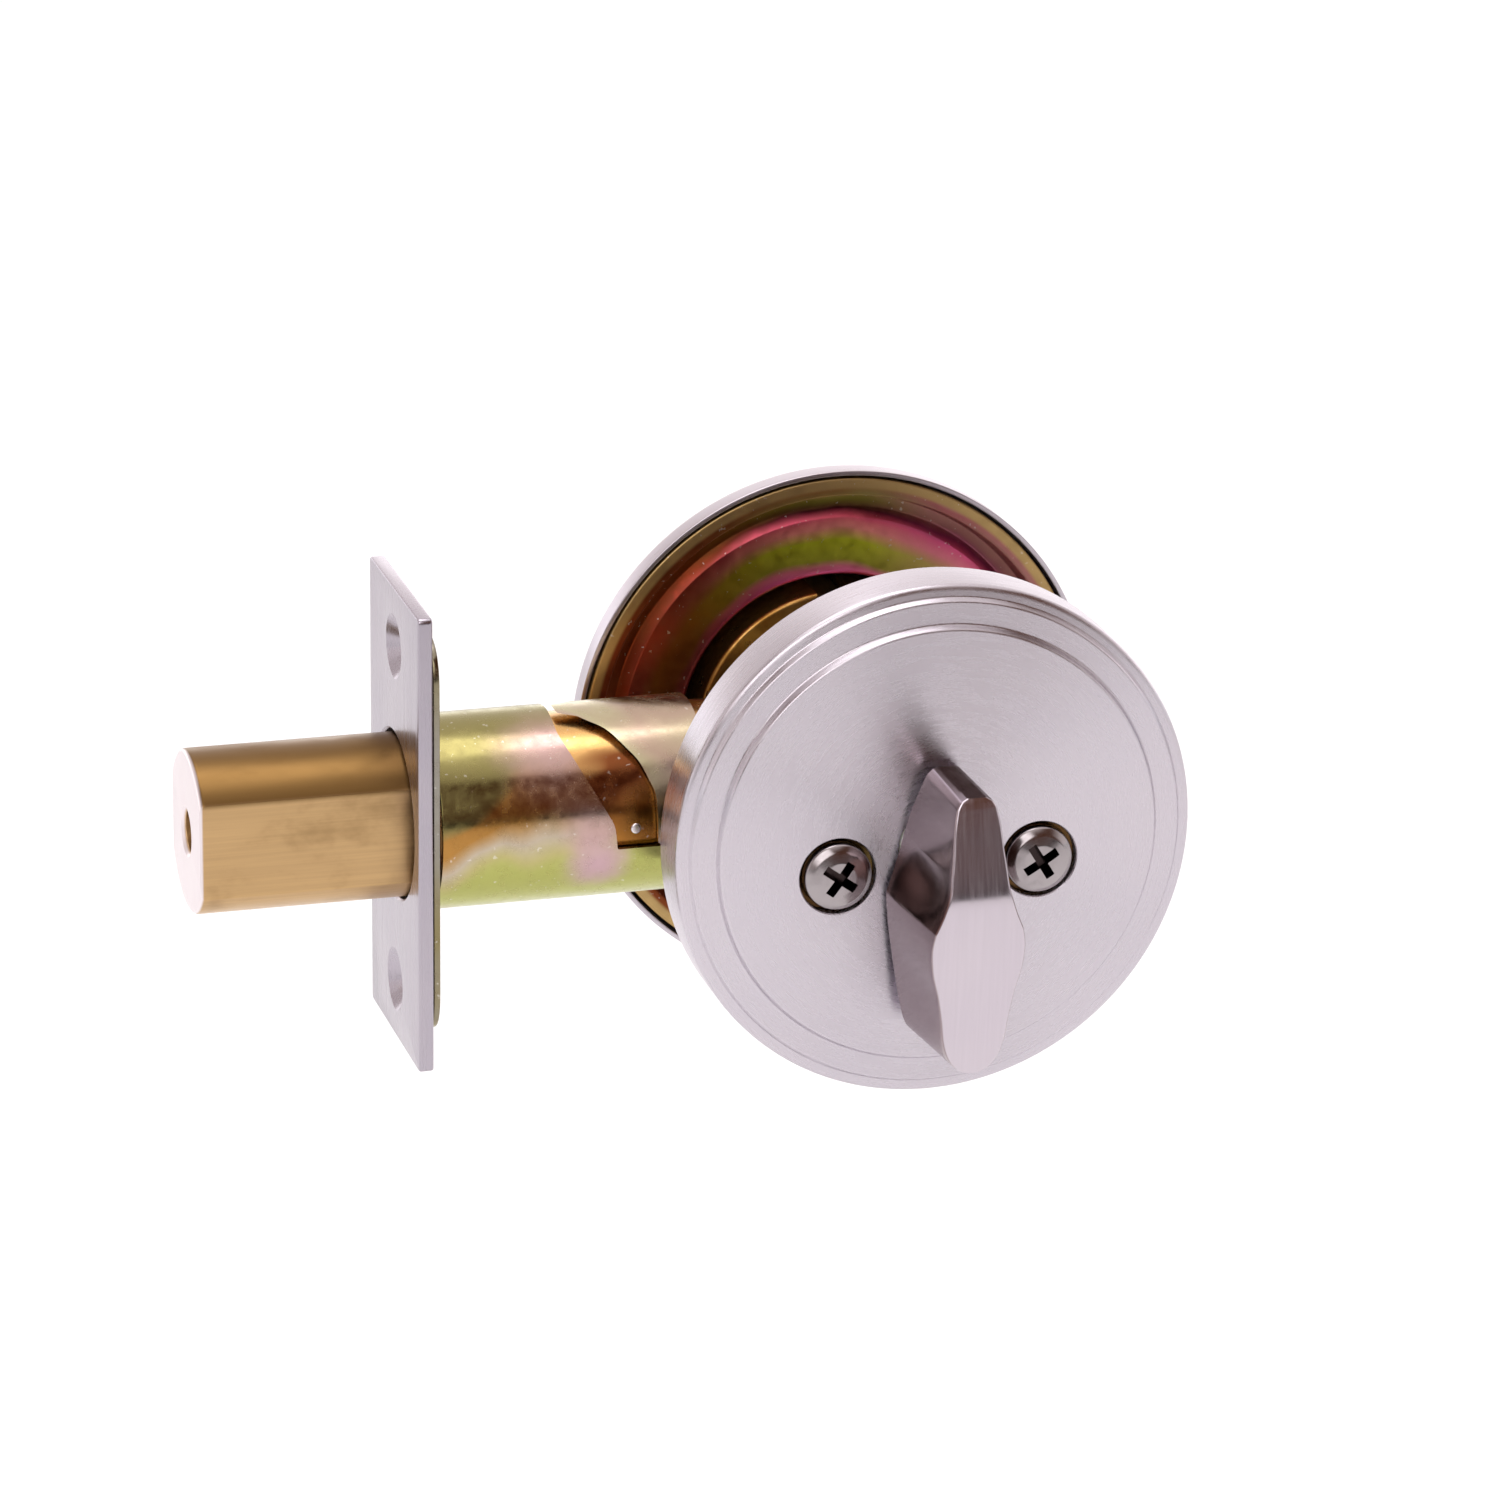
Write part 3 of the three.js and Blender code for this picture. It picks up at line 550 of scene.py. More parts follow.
def screw_nickel(name):
    """Dull nickel, with painted shade, near black, inside the head's cross."""
    tree = Tree(plain_metal(name, (0.37, 0.335, 0.345), 0.16, grime=0.35))
    x, y, z = tree.split(tree.coordinates())
    off_x = tree.math("SUBTRACT", tree.math("ABSOLUTE", x), SCREW_X * MM)
    off_z = tree.math("SUBTRACT", z, SCREW_Z * MM)
    off_axis = {0: tree.join(off_x, 0.0, off_z)}
    away = tree.add("VectorMath", off_axis, output="Value", operation="LENGTH")
    inside = tree.spread(away, 2.5 * MM, 2.7 * MM, 1.0, 0.0)
    crown = SCREW_LOW.y * MM
    below_crown = tree.spread(y, crown + 0.22 * MM, crown + 0.55 * MM)
    above_shank = tree.spread(y, crown + 2.36 * MM, crown + 2.42 * MM, 1.0, 0.0)
    # Painted shade: the inside of the cross is coloured near black.
    recess_shade = tree.times(inside, tree.times(below_crown, above_shank))
    head_tone = tree.shader.inputs["Base Color"].links[0].from_socket
    return tree.surface(Base_Color=tree.mix(recess_shade, head_tone, (0.035, 0.025, 0.025, 1)))


def housing_material(name):
    """The cylinder housing: satin chrome on its street face, bare golden brass behind it."""
    tree = Tree(name)
    where = tree.coordinates()
    lines = brush_lines(tree, RING)
    dirt = tree.noise(where, 300.0, 3.0, 0.6)
    satin_tone = tree.mix(tree.spread(lines, 0.25, 0.75), (0.52, 0.48, 0.53, 1), (0.60, 0.56, 0.61, 1))
    brass_tone = tree.mix(tree.spread(dirt, 0.35, 0.75), (0.50, 0.28, 0.09, 1), (0.30, 0.14, 0.03, 1))
    depth = tree.split(where)[1]
    colour = tree.mix(tree.spread(depth, 36.0 * MM, 37.0 * MM), brass_tone, satin_tone)
    return tree.surface(
        Metallic=1.0, Base_Color=colour, Anisotropic=0.5, Anisotropic_Rotation=ACROSS,
        Roughness=tree.spread(dirt, 0.3, 0.8, 0.27, 0.36), Normal=tree.bump(lines, 0.15, 0.012),
        Tangent=tree.add("Tangent", direction_type="RADIAL", axis="Y"),
    )


def nylon_material(name):
    """Natural nylon with a fine grain."""
    tree = Tree(name)
    grain = tree.noise(tree.coordinates(), 2200.0, 3.0, 0.6)
    cloud = tree.noise(tree.coordinates(), 200.0, 2.0)
    colour = tree.mix(cloud, (0.80, 0.77, 0.68, 1), (0.90, 0.88, 0.82, 1))
    return tree.surface(
        Base_Color=colour, Subsurface_Weight=0.15, Subsurface_Scale=1.5 * MM,
        Roughness=tree.spread(grain, 0.3, 0.7, 0.45, 0.6), Normal=tree.bump(grain, 0.1, 0.02),
    )


ROSE_SATIN = satin("rose_satin", RING, tint=(0.59, 0.55, 0.605), rough=0.27, aniso=0.9, turn=ACROSS)
COLLAR_SATIN = satin("collar_satin", RING, turn=ACROSS)
# The lever's satin carries painted reflections on its sides, top end and scoops.
LEVER_SATIN = satin(
    "lever_satin", LENGTHWISE, tint=(0.56, 0.505, 0.56), rough=0.2, aniso=0.5, axis="Z", tones=lever_painted_reflections,
)
PLATE_SATIN = satin("plate_satin", ALONG_Z, tint=(0.42, 0.385, 0.44), rough=0.26, aniso=0.4, axis="Z")
BRASS = brass_material("bolt_brass")
HOUSING = housing_material("housing_brass")
PIN_BRASS = plain_metal("pin_brass", (0.55, 0.38, 0.17), 0.3)
NICKEL = plain_metal("bright_nickel", (0.66, 0.61, 0.62), 0.15, grime=0.35)
SCREW_NICKEL = screw_nickel("screw_nickel")
STEEL = plain_metal("spring_steel", (0.30, 0.30, 0.32), 0.33)
HUB_STEEL = plain_metal("hub_steel", (0.42, 0.40, 0.38), 0.3, RING)
NYLON = nylon_material("nylon")
# The front tube's colours run by height (rise): green low down, beige, then a brown band and a darker top.
# These are the plating's own colours, with the brown band and the darker top partly painted reflection of
# the dark room.
ZINC_FRONT = zinc(
    "zinc_front_tube",
    [(0.0, GREEN), (0.1, YELLOW), (0.36, (0.50, 0.42, 0.32)), (0.58, (0.44, 0.28, 0.13)), (0.72, BROWN),
     (0.93, BROWN), (1.0, (0.27, 0.235, 0.09))],
    spots=[
        ((-43, -8, 9.5), 5, PINK), ((-38, -11, 0), 3.5, PINK), ((-38, -11, -4.5), 3, (0.54, 0.36, 0.39)),
    ],
    rise=24.0,
)
ZINC_SLEEVE = zinc(
    "zinc_sleeve", [(0.0, PALE), (0.35, (0.46, 0.34, 0.26)), (0.6, PALE), (0.8, PINK), (1.0, YELLOW)],
    seed=0.31,
)
# Painted shade and light: the inner tube is dark red-brown low down, where the rose's dark back is
# mirrored, and bright amber high up, where it is lit.
ZINC_AMBER = zinc(
    "zinc_amber",
    [(0.0, AMBER), (0.5, (0.18, 0.055, 0.02)), (0.74, (0.24, 0.075, 0.025)), (0.84, (0.66, 0.38, 0.14)),
     (1.0, (0.68, 0.40, 0.15))],
    rise=24.0,
)
ZINC_CASE = zinc("zinc_case", [(0.0, YELLOW), (0.4, GREEN), (0.7, PALE), (1.0, PINK)], seed=1.9)
ZINC_PLATE = zinc(
    "zinc_plate", [(0.0, (0.20, 0.18, 0.08)), (0.5, (0.25, 0.21, 0.11)), (1.0, (0.30, 0.28, 0.25))],
)
# Painted shade: the liner is coloured near black, so the gap round each screw head reads as shade.
LINER_PAINTED_SHADE = zinc(
    "liner_painted_shade", [(0.0, (0.08, 0.07, 0.02)), (0.5, (0.10, 0.05, 0.02)), (1.0, (0.06, 0.03, 0.01))],
)
ZINC_RING = ring_zinc("zinc_ring")


# ---------------- room side

def head_hole(x):
    """The shape of a screw head's hole through the rose, with a small rounded lip at the front."""
    radius, lip, low, high = 4.7, 0.15, ROSE_FRONT, ROSE_FRONT + 3
    tool = lathe("cutter", [
        (0, low - 1), (radius + lip, low - 1), (radius + lip, low), (radius, low + lip, lip),
        (radius, high), (0, high),
    ], sides=96)
    return shift(tool, x, 0, SCREW_Z)


def build_rose():
    front, wall, edge = ROSE_FRONT, 1.2, ROSE_RADIUS
    profile = [
        (5.1, front), (26.95, front, 0.35), (27.4, front + 0.85, 0.35), (30.15, front + 0.9, 0.3),
        (30.55, front + 1.6, 0.3), (edge, front + 1.75, 1.3), (edge, DOOR_FACE, 0.15),
        (edge - wall, DOOR_FACE, 0.15), (edge - wall, front + 3.2, 0.8), (29.7, front + 2.1, 0.3),
        (26.6, front + 2.1, 0.3), (26.1, front + wall, 0.3), (5.1, front + wall),
    ]
    rose = lathe("rose", profile, sides=256)
    for x in (-SCREW_X, SCREW_X):
        cut(rose, head_hole(x))
    finish_piece(rose, CASE, ROSE_SATIN, "satin_chrome", "interior_rose")


# Right-hand half of the lever: front x, front z, back x, back z, and 1 where the row is a crease.
LEVER_ROWS = [
    (1.20, 10.95, 0.95, 10.70, 1), (2.00, 10.50, 1.60, 10.50, 1), (2.45, 9.70, 2.35, 9.70, 1),
    (2.85, 7.60, 3.35, 6.90, 0), (3.10, 5.00, 4.00, 4.90, 0), (3.45, 2.00, 4.75, 2.20, 1),
    (3.70, 0.00, 5.30, 0.00, 0), (4.45, -2.60, 6.00, -2.40, 0), (5.40, -4.90, 6.80, -5.00, 1),
    (5.75, -7.00, 6.70, -7.00, 0), (5.50, -10.0, 6.45, -9.80, 0), (4.75, -13.0, 6.05, -13.0, 0),
    (4.20, -16.0, 5.65, -16.0, 0), (3.80, -19.0, 5.25, -18.6, 0), (3.10, -21.2, 4.75, -20.8, 0),
    (1.95, -22.7, 3.90, -21.9, 0), (0.80, -23.3, 1.80, -22.4, 1),
]
LEVER_EDGE = 0.3
CREASE_EDGE = 0.13
SCOOP_TOP, SCOOP_FOOT, SCOOP_DEPTH = 2.0, -4.9, 0.75


def spline(rows, steps):
    """Points on a Catmull-Rom spline through rows, its ends held."""
    found = []
    for i in range(len(rows) - 1):
        ends = [rows[max(i - 1, 0)], rows[i], rows[i + 1], rows[min(i + 2, len(rows) - 1)]]
        for step in range(steps):
            t = step / steps
            weights = (
                -0.5 * t + t * t - 0.5 * t ** 3, 1 - 2.5 * t * t + 1.5 * t ** 3,
                0.5 * t + 2 * t * t - 1.5 * t ** 3, -0.5 * t * t + 0.5 * t ** 3,
            )
            found.append(tuple(sum(w * e[k] for w, e in zip(weights, ends)) for k in range(len(rows[0]))))
    return found + [tuple(rows[-1])]


def lever_rows():
    """The lever's rows, splined between its creases, with a narrow flat along each crease."""
    creases = [i for i, row in enumerate(LEVER_ROWS) if row[4]]
    rows = []
    corners = []
    for start, end in zip(creases, creases[1:]):
        stretch = [row[:4] for row in LEVER_ROWS[start:end + 1]]
        corners.append(len(rows))
        rows += spline(stretch, 6 if len(stretch) > 2 else 3)[:-1]
    rows.append(LEVER_ROWS[-1][:4])
    softened = []
    for i, row in enumerate(rows):
        if i in corners[1:]:
            for near in (rows[i - 1], rows[i + 1]):
                here, there = Vector(row), Vector(near)
                softened.append(tuple(here.lerp(there, CREASE_EDGE / (there - here).length)))
        else:
            softened.append(row)
    return softened


def lever_front(z):
    """The front face's place along Y: it leans out to a soft fold and back again."""
    fold, upper, lower, soft = -1.3, 0.225, 0.090, 1.0
    rise = z - fold
    return -43.02 + (upper + lower) / 2 * math.hypot(rise, soft) + (upper - lower) / 2 * rise


def lever_back(z):
    return -(27.2 + 0.10 * max(0.0, z - 4) ** 1.2 + 0.012 * max(0.0, -z - 4) ** 1.75)


def scoop(z):
    """How far the side is hollowed at a height, in the band above its crease."""
    along = (z - SCOOP_FOOT) / (SCOOP_TOP - SCOOP_FOOT)
    return SCOOP_DEPTH * 2.6 * along * (1 - along ** 2) if 0 < along < 1 else 0.0


def lever_side(row):
    """Points of the right-hand side from the rounded front edge to the back."""
    front_x, front_z, back_x, back_z = row
    front, back = lever_front(front_z), lever_back(back_z)
    deep = back - front
    turns = [math.radians(22.5 * k) for k in range(5)]
    columns = [(LEVER_EDGE * (1 - math.cos(a)) / deep, LEVER_EDGE * (1 - math.sin(a))) for a in turns]
    columns += [(t / 10, scoop(front_z) * math.sin(math.pi * t / 10) ** 2) for t in range(1, 11)]
    return [
        (front_x + (back_x - front_x) * t - inset, front + deep * t, front_z + (back_z - front_z) * t)
        for t, inset in columns
    ]


def blade_slot(low, high):
    wide, tall = BLADE_SLOT
    return block("blade_slot", (-wide, low, -tall), (wide, high, tall))


def build_lever():
    rings = []
    for row in lever_rows():
        side = lever_side(row)
        rings.append([(-x, y, z) for x, y, z in reversed(side)] + side)
    count = len(rings[0])
    faces = [tuple(range(count)), tuple(range((len(rings) - 1) * count, len(rings) * count))]
    for i in range(len(rings) - 1):
        here, there = i * count, (i + 1) * count
        for k in range(count):
            after = (k + 1) % count
            faces.append((here + k, here + after, there + after, there + k))
    lever = make_mesh("turn_lever", [point for ring in rings for point in ring], faces)
    boss = lathe("boss", [(0, -28.2), (4.5, -28.2), (4.5, -26.65, 0.2), (0, -26.65)], sides=96)
    shank = lathe("shank", [
        (0, -28), (3.8, -28), (3.8, -20.6), (3.0, -20.6), (3.0, -19.4), (3.8, -19.4),
        (3.8, -18.4, 0.3), (0, -18.4),
    ], sides=96)
    boolean(boss, shank, "UNION")
    cut(boss, blade_slot(-23.7, 0))
    boolean(lever, boss, "UNION")
    finish_piece(lever, TURN, LEVER_SATIN, "satin_chrome", "turn_piece", degrees=27)


def phillips_cutter(depth):
    """A cross that narrows as it goes in, opening towards -Y."""
    def cross(long, wide, y):
        quarter = [(wide, wide), (wide, long), (-wide, long)]
        turned = []
        for k in range(4):
            c, s = round(math.cos(k * math.pi / 2)), round(math.sin(k * math.pi / 2))
            turned += [(c * a - s * b, y, s * a + c * b) for a, b in quarter]
        return turned
    levels = cross(2.5, 0.6, -3.2) + cross(2.3, 0.56, -2.2) + cross(1.4, 0.42, -2.45 + depth)
    faces = [tuple(range(12)), tuple(range(24, 36))]
    for level in (0, 12):
        for i in range(12):
            a, b = level + i, level + (i + 1) % 12
            faces.append((a, b, b + 12, a + 12))
    return make_mesh("cross", levels, faces)


def threaded_shank(radius, low, high, pitch, sides=28):
    """A screw thread along Y, closed at both ends and pointed at the high one."""
    rows_per_turn, depth = 6, 0.42
    count = int((high - low) / pitch * rows_per_turn)
    points = []
    for i in range(count + 1):
        y = low + (high - low) * i / count
        fade = min(1.0, (count - i) / 8, i / 8)
        for k in range(sides):
            wave = abs(2 * ((i / rows_per_turn - k / sides) % 1.0) - 1)
            r = radius - depth * (1 - wave) * fade - (1 - min(1.0, (count - i) / 8)) * 0.7
            angle = math.tau * k / sides
            points.append((r * math.cos(angle), y, r * math.sin(angle)))
    faces = [tuple(range(sides)), tuple(range(count * sides, (count + 1) * sides))]
    for i in range(count):
        for k in range(sides):
            a, b = i * sides + k, i * sides + (k + 1) % sides
            faces.append((a, b, b + sides, a + sides))
    return make_mesh("thread", points, faces)


def build_screw(node, x, turn):
    seat = SCREW_HIGH.y - SCREW_LENGTH
    head = lathe("head", [
        (0, -2.42), (2.0, -2.32, 1.5), (3.3, -2.0, 1.2), (4.15, -1.4, 0.5), (4.15, 0, 0.1),
        (SCREW_SHANK, 0, 0.1), (SCREW_SHANK, 16, 0.2), (0, 16),
    ], sides=96)
    cut(head, phillips_cutter(2.3))
    piece = join("shown_" + node, head, threaded_shank(SCREW_SHANK, 16.05, SCREW_LENGTH, 0.8))
    moved(piece, Matrix.Rotation(turn, 4, "Y"))
    shift(piece, x, seat, SCREW_Z)
    finish_piece(piece, CASE, SCREW_NICKEL, "bright_steel", node)


# ---------------- bolt, plates and tubes

def build_bolt():
    front, rear, radius, flat = BOLT_LOW.x, BOLT_HIGH.x, BOLT_HIGH.z, BOLT_HIGH.y
    bar = lathe("bolt_bar", [(0, front), (radius, front, 0.8), (radius, rear, 0.3), (0, rear)], "X", 256)
    flats = block("flats", (front - 2, -flat, -12), (rear + 2, flat, 12))
    boolean(bar, flats, "INTERSECT")
    bevel(bar, 0.22, 30, 3)
    hole = lathe("hole", [
        (0, front - 1), (3.1, front - 1), (3.1, front), (2.6, front + 0.45, 0.2), (2.6, front + 27.7),
        (0, front + 27.7),
    ], "X", 96)
    slot = block("slot", (rear - 6.3, 1.6, -12), (rear + 1, 4.2, 12))
    rivet = rod("rivet_hole", 1.7, -12, 12, "Y", (rear - 3, 0, 0))
    cut(bar, hole, slot, rivet)
    finish_piece(bar, BOLT, BRASS, "brass", "bolt")


def build_saw_pin():
    front = BOLT_LOW.x + 1.5
    back = front + 25.8
    pin = lathe("saw_pin", [(0, front), (2.3, front, 0.7), (2.3, back), (0, back)], "X", 64)
    finish_piece(pin, BOLT, STEEL, "spring_steel", "anti_saw_pin")


def countersink(z, front, back):
    sink = lathe("sink", [
        (0, front - 1), (5.1, front - 1), (3.95, front, 0.15), (2.3, back - 0.25), (2.3, back + 1),
        (0, back + 1),
    ], "X", 96)
    return shift(sink, 0, 0, z)


def oblong(half_width, half_height, radius):
    signs = ((-1, -1), (1, -1), (1, 1), (-1, 1))
    return [(a * half_width, b * half_height, radius) for a, b in signs]


def build_faceplate():
    x0, x1, y1, z1 = PLATE_LOW.x, PLATE_HIGH.x, PLATE_HIGH.y, PLATE_HIGH.z
    wide = PLATE_OPENING
    plate = slab("plate", oblong(y1, z1, 0.7), x0, x1, "X", steps=5)
    bevel(plate, 0.28, 40, 3)
    opening = lathe("opening", [
        (0, x0 - 1), (wide + 0.3, x0 - 1), (wide + 0.3, x0), (wide, x0 + 0.3, 0.2), (wide, x1 + 1),
        (0, x1 + 1),
    ], "X")
    cut(plate, opening, countersink(PLATE_SCREW_Z, x0, x1), countersink(-PLATE_SCREW_Z, x0, x1))
    finish_piece(plate, CASE, PLATE_SATIN, "satin_chrome", "faceplate")


def build_backplate():
    x0, x1, y1, z1 = BACK_LOW.x, BACK_HIGH.x, BACK_HIGH.y, BACK_HIGH.z
    plate = slab("back", oblong(y1, z1, 6), x0, x1, "X", steps=14)
    bevel(plate, 0.15, 40, 2)
    cut(plate, rod("opening", PLATE_OPENING, x0 - 1, x1 + 1, "X", sides=192))
    for z in (-PLATE_SCREW_Z, PLATE_SCREW_Z):
        cut(plate, rod("screw_hole", 2.8, x0 - 1, x1 + 1, "X", (0, 0, z)))
    finish_piece(plate, CASE, ZINC_PLATE, "zinc_yellow", "backplate")


def shell(name, inner, outer, low, high, axis="X", sides=256):
    outline = [(inner, low, 0.1), (outer, low, 0.1), (outer, high, 0.1), (inner, high, 0.1)]
    return lathe(name, outline, axis, sides)


# Outlines over the tubes, across x and z: what is cut from the front one, and what the sleeve keeps.
FRONT_TUBE_AWAY = [
    (-41.3, 13), (-41.6, 11.6, 0.8), (-41.6, 10.6, 1.5), (-38.8, 5.5, 6), (-36.0, 0.5, 4),
    (-35.6, -2.65, 0.3), (-20, -2.65), (-20, 13),
]
SLEEVE_KEEP = [
    (-40.7, 13), (-40.7, 11.72, 0.2), (-38.4, 11.5, 2), (-35.4, 10.6, 5), (-32.4, 7.6, 5), (-30.8, 4.0, 5),
    (-30.6, -2.3, 0.3), (-20, -2.3), (-20, 13),
]


def build_front_tube():
    tube = shell("front_shell", TUBE_BORE, TUBE_HIGH.z, TUBE_LOW.x, TUBE_HIGH.x)
    cut(tube, slab("away", FRONT_TUBE_AWAY, -15, 15, "Y", steps=10))
    finish_piece(tube, CASE, ZINC_FRONT, "zinc_yellow", "front_tube")


def build_sleeve():
    sleeve = shell("sleeve", TUBE_BORE, TUBE_HIGH.z, -41, TUBE_HIGH.x)
    boolean(sleeve, slab("keep", SLEEVE_KEEP, -15, 15, "Y", steps=10), "INTERSECT")
    finish_piece(sleeve, CASE, ZINC_SLEEVE, "zinc_rose", "rear_sleeve")


def build_core():
    core = shell("core", 10.15, CORE_HIGH.z, CORE_LOW.x, CORE_HIGH.x)
    finish_piece(core, CASE, ZINC_AMBER, "zinc_amber", "inner_tube")


# ---------------- street side

def build_collar():
    edge, door, front = COLLAR_RADIUS, -DOOR_FACE, COLLAR_HIGH.y
    profile = [
        (edge, door, 0.15), (edge - 0.1, door + 3.0, 1.2), (edge - 1.5, door + 5.3, 2),
        (28.6, door + 10.6, 4), (24.2, front - 3.6, 1.5), (23.2, front - 1.0, 0.5), (22.0, front, 0.5),
        (18, front), (18, front - 1.6), (20.8, front - 1.6), (22.2, front - 4.6, 1), (27.4, door + 9.5, 2),
        (31.1, door + 3.9, 1), (edge - 0.7, door + 1.7, 0.5), (edge - 0.6, door, 0.15),
    ]
    collar = lathe("collar", profile, sides=256)
    finish_piece(collar, CASE, COLLAR_SATIN, "satin_chrome", "cylinder_collar")


def build_ring():
    back = -DOOR_FACE + 0.2
    profile = [
        (32.3, back, 0.3), (32.3, back + 1.2, 0.2), (31.2, back + 1.3, 0.3), (30.6, back + 3.6, 0.4),
        (27.0, back + 3.9, 0.3), (26.0, back + 3.1, 0.3), (20.4, back + 3.1, 0.5), (19.7, back + 5.4, 0.3),
        (18.6, back + 5.4, 0.3), (19.3, back + 2.0, 1.0), (26.7, back + 2.0, 0.4), (28.0, back + 2.9, 0.4),
        (29.6, back + 2.5, 0.4), (30.1, back, 0.3),
    ]
    ring = lathe("ring", profile, sides=256)
    finish_piece(ring, CASE, ZINC_RING, "zinc_yellow", "reinforcing_ring")


HOUSING_BACK, HOUSING_FRONT = node_box("cylinder_body")
PLUG_BACK, PLUG_FRONT = node_box("cylinder_plug")
KEYWAY = [
    (-0.95, 2.6), (-0.95, 0.4), (-0.25, -0.1), (-0.25, -1.5), (-0.95, -2.0), (-0.95, -4.2),
    (0.45, -4.2), (0.45, -2.6), (1.0, -2.2), (1.0, -0.9), (0.45, -0.5), (0.45, 2.6),
]
CHAMBER_RADIUS = 1.55


def chamber_depths():
    return [sum(c.y for c in node_box(f"key_pin_{index}")) / 2 for index in PIN_NUMBERS]


def sector(name, inner, outer, start, end, low, high):
    """A pie slice about Y, its angles in degrees from +X towards +Z."""
    return slab(name, arc((0, 0), outer, start, end) + arc((0, 0), inner, end, start), low, high)


def build_housing():
    rear, front, flange, radius = HOUSING_BACK.y, HOUSING_FRONT.y, HOUSING_FRONT.x, 17.4
    flange_back = front - 1.9
    housing = lathe("housing", [
        (6.6, rear), (radius, rear, 0.6), (radius, flange_back, 0.1), (flange, flange_back, 0.15),
        (flange, front, 0.9), (14.2, front, 0.1), (13.9, front - 0.3, 0.1), (13.6, front, 0.1),
        (7.0, front, 0.1), (6.6, front - 0.4, 0.1),
    ], sides=192)
    for x in (-SCREW_X, SCREW_X):
        cut(housing, rod("lug", 2.9, rear - 1, rear + 14, "Y", (x, 0, SCREW_Z)))
    cut(housing, block("cap_slot", (-2.2, rear - 1, 14.6), (2.2, flange_back - 0.6, radius + 1)))
    for y in chamber_depths():
        cut(housing, rod("chamber", CHAMBER_RADIUS, 5.1, 15.6, "Z", (0, y, 0), 32))
    finish_piece(housing, CASE, HOUSING, "satin_chrome", "cylinder_body")


def build_plug():
    rear, front, radius = PLUG_BACK.y, PLUG_FRONT.y, PLUG_FRONT.x
    barrel = lathe("barrel", [
        (0, rear + 2), (5, rear + 2, 0.1), (5, rear, 0.1), (radius, rear, 0.2), (radius, rear + 1.2),
        (5.7, rear + 1.2), (5.7, rear + 2.3), (radius, rear + 2.3), (radius, front, 0.45), (0, front),
    ], sides=128)
    mouth = lathe("mouth", [
        (0, front - 0.55), (0.6, front - 0.5), (1.9, front, 0.1), (2.4, front + 1), (0, front + 1),
    ])
    key_slot = slab("key_slot", [(x, z, 0.12) for x, z in KEYWAY], rear + 3, front + 1, steps=3)
    nub = sector("nub", 3.1, 5.2, 250, 290, rear + 0.1, rear + 2.2)
    boolean(barrel, nub, "UNION")
    cut(barrel, key_slot, shift(mouth, 0, 0, 1.2))
    for y in chamber_depths():
        cut(barrel, rod("chamber", CHAMBER_RADIUS, 0.2, radius + 1, "Z", (0, y, 0), 32))
    finish_piece(barrel, PLUG, COLLAR_SATIN, "satin_chrome", "cylinder_plug")


def build_tailpiece():
    low, high = node_box("tailpiece")
    blade = block("blade", (-0.75, low.y, -2.5), (0.75, high.y - 0.4, 2.5))
    bevel(blade, 0.18)
    step = high.y - 1.35
    head = lathe("head", [(0, step), (2.75, step, 0.15), (2.75, high.y, 0.15), (0, high.y)], sides=64)
    boolean(head, sector("tab", 2, 4.6, 31, 59, step, high.y), "UNION")
    boolean(head, blade, "UNION")
    finish_piece(head, TURN, NICKEL, "bright_steel", "tailpiece")


def clip(name, inner, outer, start, end, node, body):
    """A flat open clip between its node's own faces, its angles as in sector."""
    low, high = node_box(node)
    ring = sector(name, inner, outer, start, end, low.y, high.y)
    bevel(ring, 0.08, 40, 2)
    finish_piece(ring, body, STEEL, "spring_steel", node)


def washer(name, inner, outer, node, body, material, slot):
    low, high = node_box(node)
    finish_piece(shell(name, inner, outer, low.y, high.y, "Y", 96), body, material, slot, node)


def build_chamber_cap():
    low, high = node_box("chamber_cap")
    cap = block("cap", low, high)
    bevel(cap, 0.15)
    finish_piece(cap, CASE, PIN_BRASS, "brass", "chamber_cap")


# ---------------- behind the rose

def build_liner():
    low, high = node_box("rose_liner")
    liner = lathe("liner", [
        (5.1, low.y, 0.1), (24.6, low.y, 0.2), (25.2, low.y + 0.5, 0.3), (high.x, low.y + 0.5, 0.2),
        (high.x, high.y, 0.2), (5.1, high.y, 0.1)], sides=192)
    for x in (-SCREW_X, SCREW_X):
        cut(liner, rod("screw_hole", 2.9, low.y - 1, high.y + 1, "Y", (x, 0, SCREW_Z)))
    for side in (1, -1):
        cut(liner, sector("window", 9, 21, side * 90 - 32, side * 90 + 32, low.y - 1, high.y + 1))
    bevel(liner, 0.12, 50, 2)
    finish_piece(liner, CASE, LINER_PAINTED_SHADE, "zinc_yellow", "rose_liner")


def build_bushing():
    low, high = node_box("turn_bushing")
    bushing = lathe("bushing", [
        (4.1, low.y, 0.15), (4.8, low.y, 0.15), (4.8, high.y - 0.8, 0.1), (7, high.y - 0.8, 0.2),
        (7, high.y, 0.2), (4.1, high.y, 0.15)], sides=96)
    finish_piece(bushing, CASE, NYLON, "nylon", "turn_bushing")


def build_spring_washer():
    low, high = node_box("turn_spring_washer")
    rise = high.y - low.y - 0.25
    dished = lathe("dished", [
        (4.2, low.y), (4.2, low.y + 0.25), (5.6, low.y + 0.25 + rise * 0.5, 0.6), (6.6, high.y),
        (6.6, high.y - 0.25), (5.6, low.y + rise * 0.5, 0.6)], sides=96)
    finish_piece(dished, CASE, STEEL, "spring_steel", "turn_spring_washer")


# ---------------- crank and its case

